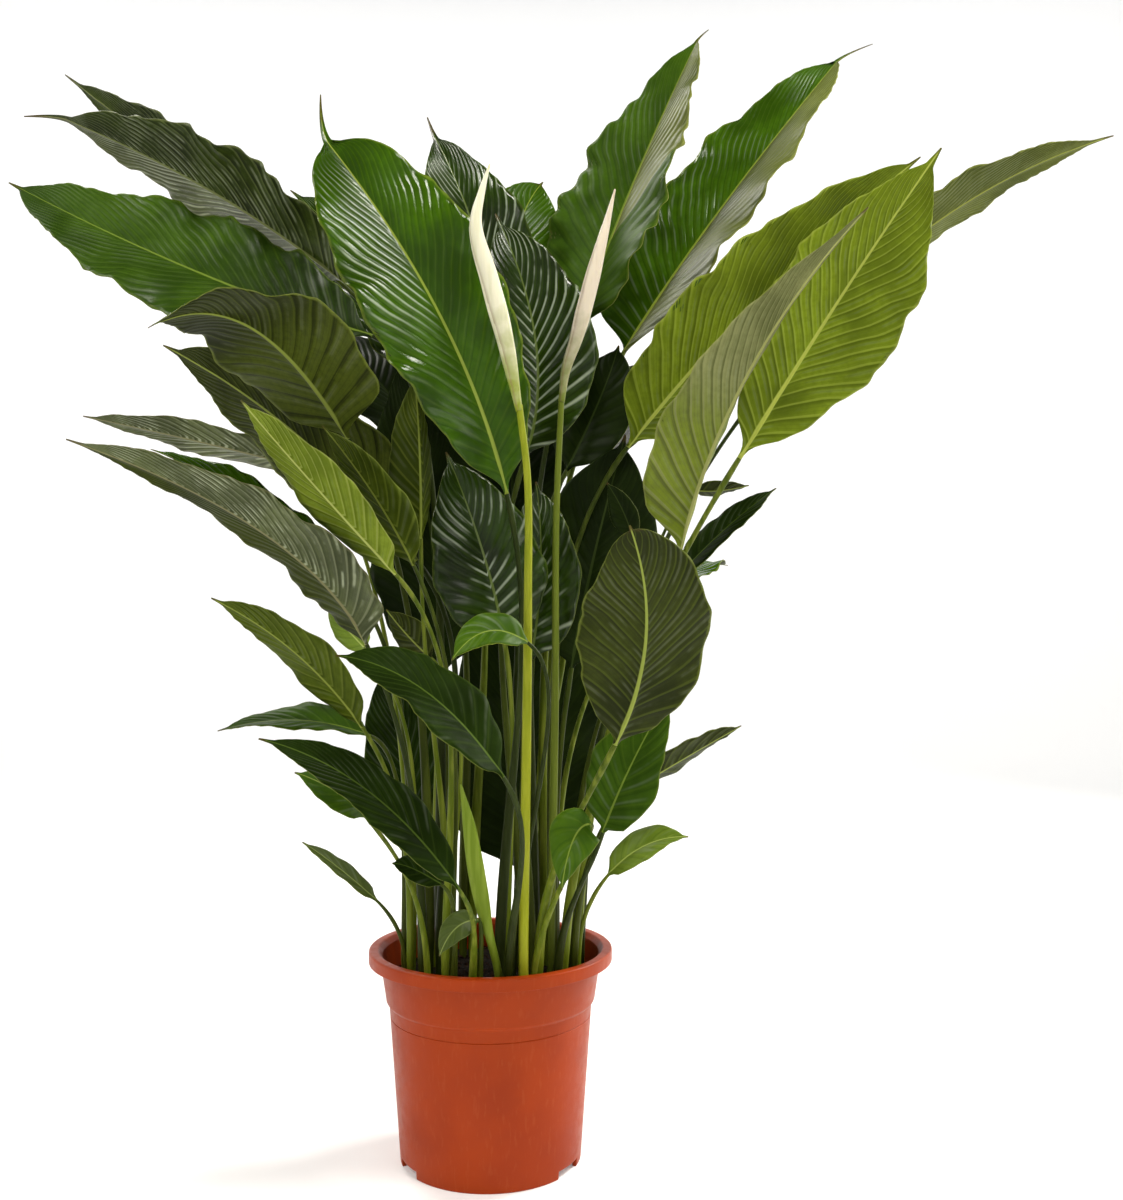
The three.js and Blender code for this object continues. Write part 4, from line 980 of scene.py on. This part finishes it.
def pot_mesh():
    """The pot's wall section carried round its axis. Where a notch is, the foot ring's underside
    lies at the notch's height."""
    line = BODY_TOP - LINE_DROP
    line_radius = FOOT_RADIUS + LEAN * line
    lip = POT_HEIGHT - WALL - 1
    above = [NOTCH_HEIGHT + 1, NOTCH_HEIGHT + 3]
    corners = [
        (0, 0, 0),
        (PAD_RADIUS, 0, 0.6),
        (PAD_RADIUS + 1, FLOOR_LIFT, 0.6),
        (FOOT_RADIUS - FOOT_WIDTH, FLOOR_LIFT, 0.6),
        (FOOT_RADIUS - FOOT_WIDTH, 0, 0.5),
        (FOOT_RADIUS, 0, 1.2),
        *[(FOOT_RADIUS + LEAN * height, height, 0) for height in above],
        (line_radius - 0.1, line - 0.4, 0.3),
        (line_radius - 0.8, line, 0.3),
        (line_radius, line + 1, 0.4),
        (BODY_TOP_RADIUS, BODY_TOP, 0.8),
        (BAND_FOOT_RADIUS - 0.2, BAND_FOOT, 1.2),
        (BAND_TOP_RADIUS, BAND_TOP, 0.5),
        (BAND_TOP_RADIUS, lip, 0.3),
        (RIM_RADIUS - RIM_WALL, lip, 0.3),
        (RIM_RADIUS - RIM_WALL, BAND_TOP, 0.4),
        (RIM_RADIUS, BAND_TOP, 0.7),
        (RIM_RADIUS, POT_HEIGHT, 2.4),
        (RIM_INNER_RADIUS, POT_HEIGHT, 1.6),
        (BAND_TOP_RADIUS - WALL, lip - 2, 1.0),
        (BAND_FOOT_RADIUS - WALL, BAND_FOOT + 2, 1.0),
        (BODY_TOP_RADIUS - WALL, BODY_TOP, 1.0),
        (FOOT_RADIUS + LEAN * FLOOR - WALL, FLOOR, 1.0),
        (PAD_RADIUS - 1, FLOOR, 0.4),
        (PAD_RADIUS - 2, WALL, 0.4),
        (0, WALL, 0),
    ]
    profile = rounded(corners)
    half = math.degrees(NOTCH_WIDTH / 2 / FOOT_RADIUS)
    cuts = [a + s * (half + d) for a in NOTCH_ANGLES for s in (-1, 1) for d in (-0.15, 0.15)]
    degrees = np.unique(np.round(np.concatenate([np.arange(0, 360, 2.0), np.array(cuts) % 360]), 4))
    off = np.abs((degrees[:, None] - np.array(NOTCH_ANGLES)[None] + 180) % 360 - 180).min(1)
    notched = (off < half)[None, :]
    radius, height = profile[:, :1], profile[:, 1:]
    foot = (radius > FOOT_RADIUS - FOOT_WIDTH - 1) & (height < NOTCH_HEIGHT)
    z = np.where(foot & notched, NOTCH_HEIGHT, height)
    turn = np.radians(degrees)[None, :]
    points = turned_points(radius * np.cos(turn), radius * np.sin(turn), z)
    return points, turned_faces(len(profile), len(degrees))


# ---- the soil ----
def lumps(x, y, seed, size, layers=5):
    """Smooth random heights from about -1 to 1: waves in random directions, each layer finer."""
    random = np.random.default_rng(seed)
    total = np.zeros_like(x)
    for layer in range(layers):
        for _ in range(4):
            angle, phase = random.uniform(0, TAU, 2)
            pitch = size / 1.9**layer
            total += np.sin(TAU / pitch * (x * np.cos(angle) + y * np.sin(angle)) + phase) / 1.7**layer / 4
    return total


def soil_height(x, y):
    """The soil's top: level, with lumps about 34 mm apart."""
    return SOIL_TOP + 1.4 * lumps(x, y, 5, 34)


def soil_mesh():
    """A disc with a lumpy top on a plug that fills the pot."""
    wall = [
        (PAD_RADIUS - 2 - SOIL_GAP, WALL + SOIL_GAP),
        (PAD_RADIUS - 1 - SOIL_GAP, FLOOR + SOIL_GAP),
        (FOOT_RADIUS - WALL + SOIL_GAP, FLOOR + SOIL_GAP),
        (BODY_TOP_RADIUS - WALL - SOIL_GAP, BODY_TOP),
        (SOIL_RADIUS, SOIL_TOP - 3),
    ]
    shares = np.linspace(0.985, 0, 46)
    radius = np.concatenate([[0], [r for r, _ in wall], shares * SOIL_RADIUS])[:, None]
    angle = (np.arange(SOIL_COLUMNS) * TAU / SOIL_COLUMNS)[None, :]
    x, y = radius * np.cos(angle), radius * np.sin(angle)
    top = soil_height(x, y) + 0.5 * lumps(y, x, 8, 9) - 1.5 * smoothstep(radius, 88, 101)
    low = np.array([wall[0][1]] + [z for _, z in wall])[:, None] * np.ones_like(angle)
    z = np.concatenate([low, top[len(low) :]])
    return turned_points(x, y, z), turned_faces(len(radius), SOIL_COLUMNS)


def crumb_mesh(count):
    """Bark crumbs on the soil: stretched eight-sided bits, each turned its own way."""
    random = np.random.default_rng(12)
    radius = CRUMB_REACH * np.sqrt(random.uniform(0, 1, count))
    angle = random.uniform(0, TAU, count)
    x, y = radius * np.cos(angle), radius * np.sin(angle)
    z = soil_height(x, y) + random.uniform(-0.5, 1.2, count)
    corners = np.array([(1, 0, 0), (0, 1, 0), (-1, 0, 0), (0, -1, 0), (0, 0, 1), (0, 0, -1)], float)
    spans = CRUMB_LENGTH, CRUMB_THICKNESS, CRUMB_THICKNESS
    size = np.stack([random.uniform(*span, count) for span in spans], -1)
    bits = corners[None] * size[:, None] * random.uniform(0.7, 1.2, (count, 6, 1))
    turn, lean = random.uniform(0, TAU, (count, 1)), random.uniform(-0.4, 0.4, (count, 1))
    long, wide, high = bits[..., 0], bits[..., 1], bits[..., 2]
    long, high = long * np.cos(lean) - high * np.sin(lean), long * np.sin(lean) + high * np.cos(lean)
    x = x[:, None] + long * np.cos(turn) - wide * np.sin(turn)
    y = y[:, None] + long * np.sin(turn) + wide * np.cos(turn)
    points = np.stack([x, y, z[:, None] + high], -1).reshape(-1, 3)
    one = np.concatenate([fan(0, 4, 4), fan(0, 4, 5, flipped=True)])
    return points, (one[None] + 6 * np.arange(count)[:, None, None]).reshape(-1, 4)


# ---- sizes and colours that a user would change ----
class LilyLeafSettings(bpy.types.PropertyGroup):
    """Sizes and colours of the leaves."""

    fold: FloatProperty(name="Fold", description="How far a blade's halves stand up, degrees", default=14)
    droop: FloatProperty(name="Droop", description="Sag of the margins as a share of the width", default=0.08)
    wave_pitch: FloatProperty(name="Wave pitch", description="Length of a wave of the margin, mm", default=88)
    wave_share: FloatProperty(name="Wave height", description="As a share of the width", default=0.04)
    vein_pitch: FloatProperty(name="Vein pitch", description="Distance between side veins, mm", default=13.5)
    vein_sweep: FloatProperty(name="Vein sweep", description="How far side veins run forward", default=1.2)
    pleat_height: FloatProperty(
        name="Pleat height", description="Rise of the blade between veins", default=0.0013, unit="LENGTH"
    )
    blade_thickness: FloatProperty(
        name="Blade thickness", description="Thickness of a blade", default=0.0006, unit="LENGTH"
    )
    rows_per_vein: IntProperty(name="Rows per vein", description="Mesh rows for each vein", default=6)
    column_width: FloatProperty(name="Column width", description="Width of a mesh column, mm", default=4.6)
    dark: FloatVectorProperty(
        name="Dark", description="Colour of an old leaf's top", subtype="COLOR", default=linear("#263a0b")[:3]
    )
    green: FloatVectorProperty(
        name="Green", description="Colour of a new leaf's top", subtype="COLOR", default=linear("#3a5c09")[:3]
    )


class LilyPotSettings(bpy.types.PropertyGroup):
    """The pot's colour and the crumbs on its soil."""

    plastic: FloatVectorProperty(
        name="Plastic", description="Colour of the pot", subtype="COLOR", default=linear("#9a3504")[:3]
    )
    crumbs: IntProperty(name="Crumbs", description="Bark crumbs on the soil", default=700)


class LilyStageSettings(bpy.types.PropertyGroup):
    """The floor, the lamps and the camera."""

    paper: FloatVectorProperty(
        name="Paper", description="Colour of the backdrop", subtype="COLOR", default=(0.85, 0.85, 0.85)
    )
    light: FloatProperty(name="Light", description="Strength of all the lamps", default=1.0)
    camera_height: FloatProperty(name="Camera height", description="Its height", default=0.53, unit="LENGTH")
    camera_distance: FloatProperty(
        name="Camera distance", description="From the pot's axis", default=1.25, unit="LENGTH"
    )


# ---- operators ----
class LILY_OT_leaves(bpy.types.Operator):
    """Make every leaf with its stem"""

    bl_idname = "lily.leaves"
    bl_label = "Make the leaves"

    def execute(self, context):
        settings = context.scene.lily_leaves
        uppers = {}
        for key, (name, body, *rest) in UPPER_SKINS.items():
            uppers[key] = leaf_upper(name, getattr(settings, body, body), *rest)
        unders = {key: leaf_under(*row) for key, row in UNDER_SKINS.items()}
        rinds = [stem_skin(*row) for row in STEM_RINDS]
        for leaf in read_leaves(settings):
            make_leaf(leaf, settings, uppers, unders, rinds)
        return {"FINISHED"}


class LILY_OT_blooms(bpy.types.Operator):
    """Make the flower stalks and the furled blooms"""

    bl_idname = "lily.blooms"
    bl_label = "Make the blooms"

    def execute(self, context):
        rinds = {
            "left": stem_skin("flower stalk rind", "#8f951a", "#7f8a1c", "#a5a834"),
            "right": stem_skin("shaded flower stalk rind", "#4f5c18", "#5f6c1e", "#707c2c"),
        }
        creams = {
            "left": bract_skin("cream bract", "#dedac0", "#86921c", "#b4b786"),
            "right": bract_skin("blushed bract", "#d9cdb8", "#6d7a20", "#b89c84"),
        }
        for side, rind in rinds.items():
            stalk = side + "_flower_stalk", STALKS[side], STALK_RADII[side]
            bract = side + "_furled_bract", BLOOMS[side], BLOOM_RADII[side]
            make_rod(*stalk, round_outline, rind, "stalk", "stalk_" + side, count=20, rows=90)
            make_rod(*bract, furled_outline, creams[side], "bloom", "bloom_" + side, count=48, rows=110)
        return {"FINISHED"}


class LILY_OT_sheath(bpy.types.Operator):
    """Make the young leaf that is still rolled up"""

    bl_idname = "lily.sheath"
    bl_label = "Make the rolled leaf"

    def execute(self, context):
        rind = stem_skin("rolled leaf rind", "#6d8020", "#5f741c", "#8a9c3c")
        rolled = "rolled_leaf", SHEATH, SHEATH_RADII
        make_rod(*rolled, folded_outline, rind, "leaf_bright", "sheath", count=32, rows=80)
        return {"FINISHED"}


class LILY_OT_pot(bpy.types.Operator):
    """Make the nursery pot"""

    bl_idname = "lily.pot"
    bl_label = "Make the pot"

    def execute(self, context):
        body = context.scene.lily_pot.plastic
        plastic = moulded_polypropylene("terracotta polypropylene", body, "#842804", "#b25c34")
        points, quads = pot_mesh()
        place_on_part(make_piece("nursery_pot", points * MM, quads, [plastic]), "pot")
        return {"FINISHED"}


class LILY_OT_soil(bpy.types.Operator):
    """Make the soil and the bark crumbs on it"""

    bl_idname = "lily.soil"
    bl_label = "Make the soil"

    def execute(self, context):
        mix = potting_mix("moist potting mix", "#130d08", "#21170f", "#4c3a29")
        points, quads = soil_mesh()
        place_on_part(make_piece("potting_soil", points * MM, quads, [mix]), "soil")
        bark = potting_mix("bark crumbs", "#291a10", "#3b281c", "#64503a")
        points, quads = crumb_mesh(context.scene.lily_pot.crumbs)
        place_on_part(make_piece("bark_crumbs", points * MM, quads, [bark], smooth=False))
        return {"FINISHED"}


# ---- the stage ----
SWEEP_COLUMNS = 96
FLOOR_RADIUS = 3.2
BEND_RADIUS = 1.4
SWEEP_TOP = 3.9
FRAME_ROWS = 1200  # rows of the picture's frame
FOCAL_ROWS = 1259  # the camera's focal length in those rows
LIFT_ROWS = 20  # how far the horizon lies below the frame's middle


def sweep_mesh():
    """The paper: a round floor that bends up on a quarter circle into a wall."""
    bend = np.linspace(0, math.pi / 2, 20)
    wall = FLOOR_RADIUS + BEND_RADIUS
    radius = np.concatenate([[0, 1.0], FLOOR_RADIUS + BEND_RADIUS * np.sin(bend), [wall, wall]])[:, None]
    height = np.concatenate([[0, 0], BEND_RADIUS * (1 - np.cos(bend)), [SWEEP_TOP, SWEEP_TOP]])[:, None]
    turn = (np.arange(SWEEP_COLUMNS) * TAU / SWEEP_COLUMNS)[None, :]
    points = np.stack([radius * np.cos(turn), radius * np.sin(turn), height + 0 * turn], -1)
    sides = grid_faces(len(radius) - 1, SWEEP_COLUMNS, first=1, closed=True)[:, ::-1]
    faces = np.concatenate([fan(1, SWEEP_COLUMNS, 0), sides])
    return np.concatenate([points[0, :1], points[1:].reshape(-1, 3)]), faces


def make_lamp(name, place, aim, size, power, colour=(1, 0.97, 0.9)):
    """A soft box at a place, facing a point; size is its width and height in metres."""
    lamp = bpy.data.lights.new(name, "AREA")
    lamp.shape = "RECTANGLE"
    lamp.size, lamp.size_y = size
    lamp.energy = power
    lamp.color = colour
    made = bpy.data.objects.new(name, lamp)
    made.location = place
    made.rotation_euler = (Vector(aim) - Vector(place)).to_track_quat("-Z", "Y").to_euler()
    bpy.context.scene.collection.objects.link(made)


class LILY_OT_stage(bpy.types.Operator):
    """Make the floor with its backdrop, the lamps and the camera"""

    bl_idname = "lily.stage"
    bl_label = "Make the stage"

    def execute(self, context):
        settings = context.scene.lily_stage
        paper = studio_paper("white seamless paper", settings.paper)
        make_piece("paper_sweep", *sweep_mesh(), [paper])
        power = settings.light
        make_lamp("key soft box", (0.75, -0.9, 2.6), (0, 0, 0.8), (0.5, 0.5), 46 * power)
        make_lamp("left soft box", (-2.0, -0.7, 2.4), (0, 0, 0.8), (0.45, 0.9), 30 * power)
        make_lamp("front soft box", (1.4, -2.5, 1.1), (0.1, 0, 0.4), (0.7, 1.0), 9 * power)
        make_lamp("right soft box", (1.9, 1.1, 1.7), (0.3, 0, 0.8), (0.8, 1.2), 66 * power)
        make_lamp("back soft box", (-1.0, 1.5, 2.3), (0, 0, 0.8), (0.8, 0.8), 28 * power)
        make_lamp("backdrop soft box", (0, 2.2, 3.6), (0, 4.6, 2.3), (4.0, 1.2), 66 * power, (1, 1, 1))
        world = bpy.data.worlds.new("studio air")
        world.use_nodes = True
        air = world.node_tree.nodes["Background"].inputs
        air["Color"].default_value = (1, 1, 1, 1)
        air["Strength"].default_value = 0.07 * power
        context.scene.world = world
        camera = bpy.data.cameras.new("front camera")
        camera.sensor_width = 36
        camera.lens = camera.sensor_width * FOCAL_ROWS / FRAME_ROWS
        camera.shift_y = LIFT_ROWS / FRAME_ROWS
        eye = bpy.data.objects.new("front camera", camera)
        eye.location = (0.07, -settings.camera_distance, settings.camera_height)
        eye.rotation_euler = (math.pi / 2, 0, 0)
        context.scene.collection.objects.link(eye)
        context.scene.camera = eye
        context.scene.view_settings.view_transform = "Standard"
        return {"FINISHED"}


class LILY_PT_panel(bpy.types.Panel):
    """Lists the steps and the sizes"""

    bl_label = "Potted Peace Lily"
    bl_idname = "LILY_PT_panel"
    bl_space_type = "VIEW_3D"
    bl_region_type = "UI"
    bl_category = "Lily"

    def draw(self, context):
        for step in STEPS:
            self.layout.operator(step.bl_idname)
        for group in (context.scene.lily_leaves, context.scene.lily_pot, context.scene.lily_stage):
            for name in group.__annotations__:
                self.layout.prop(group, name)


STEPS = (LILY_OT_stage, LILY_OT_pot, LILY_OT_soil, LILY_OT_leaves, LILY_OT_blooms, LILY_OT_sheath)
CLASSES = (LilyLeafSettings, LilyPotSettings, LilyStageSettings, *STEPS, LILY_PT_panel)


def register():
    for item in CLASSES:
        bpy.utils.register_class(item)
    bpy.types.Scene.lily_leaves = PointerProperty(type=LilyLeafSettings)
    bpy.types.Scene.lily_pot = PointerProperty(type=LilyPotSettings)
    bpy.types.Scene.lily_stage = PointerProperty(type=LilyStageSettings)


def unregister():
    del bpy.types.Scene.lily_stage
    del bpy.types.Scene.lily_pot
    del bpy.types.Scene.lily_leaves
    for item in reversed(CLASSES):
        bpy.utils.unregister_class(item)


def main():
    register()
    bpy.ops.lily.stage()
    bpy.ops.lily.pot()
    bpy.ops.lily.soil()
    bpy.ops.lily.leaves()
    bpy.ops.lily.blooms()
    bpy.ops.lily.sheath()


if __name__ == "__main__":
    main()
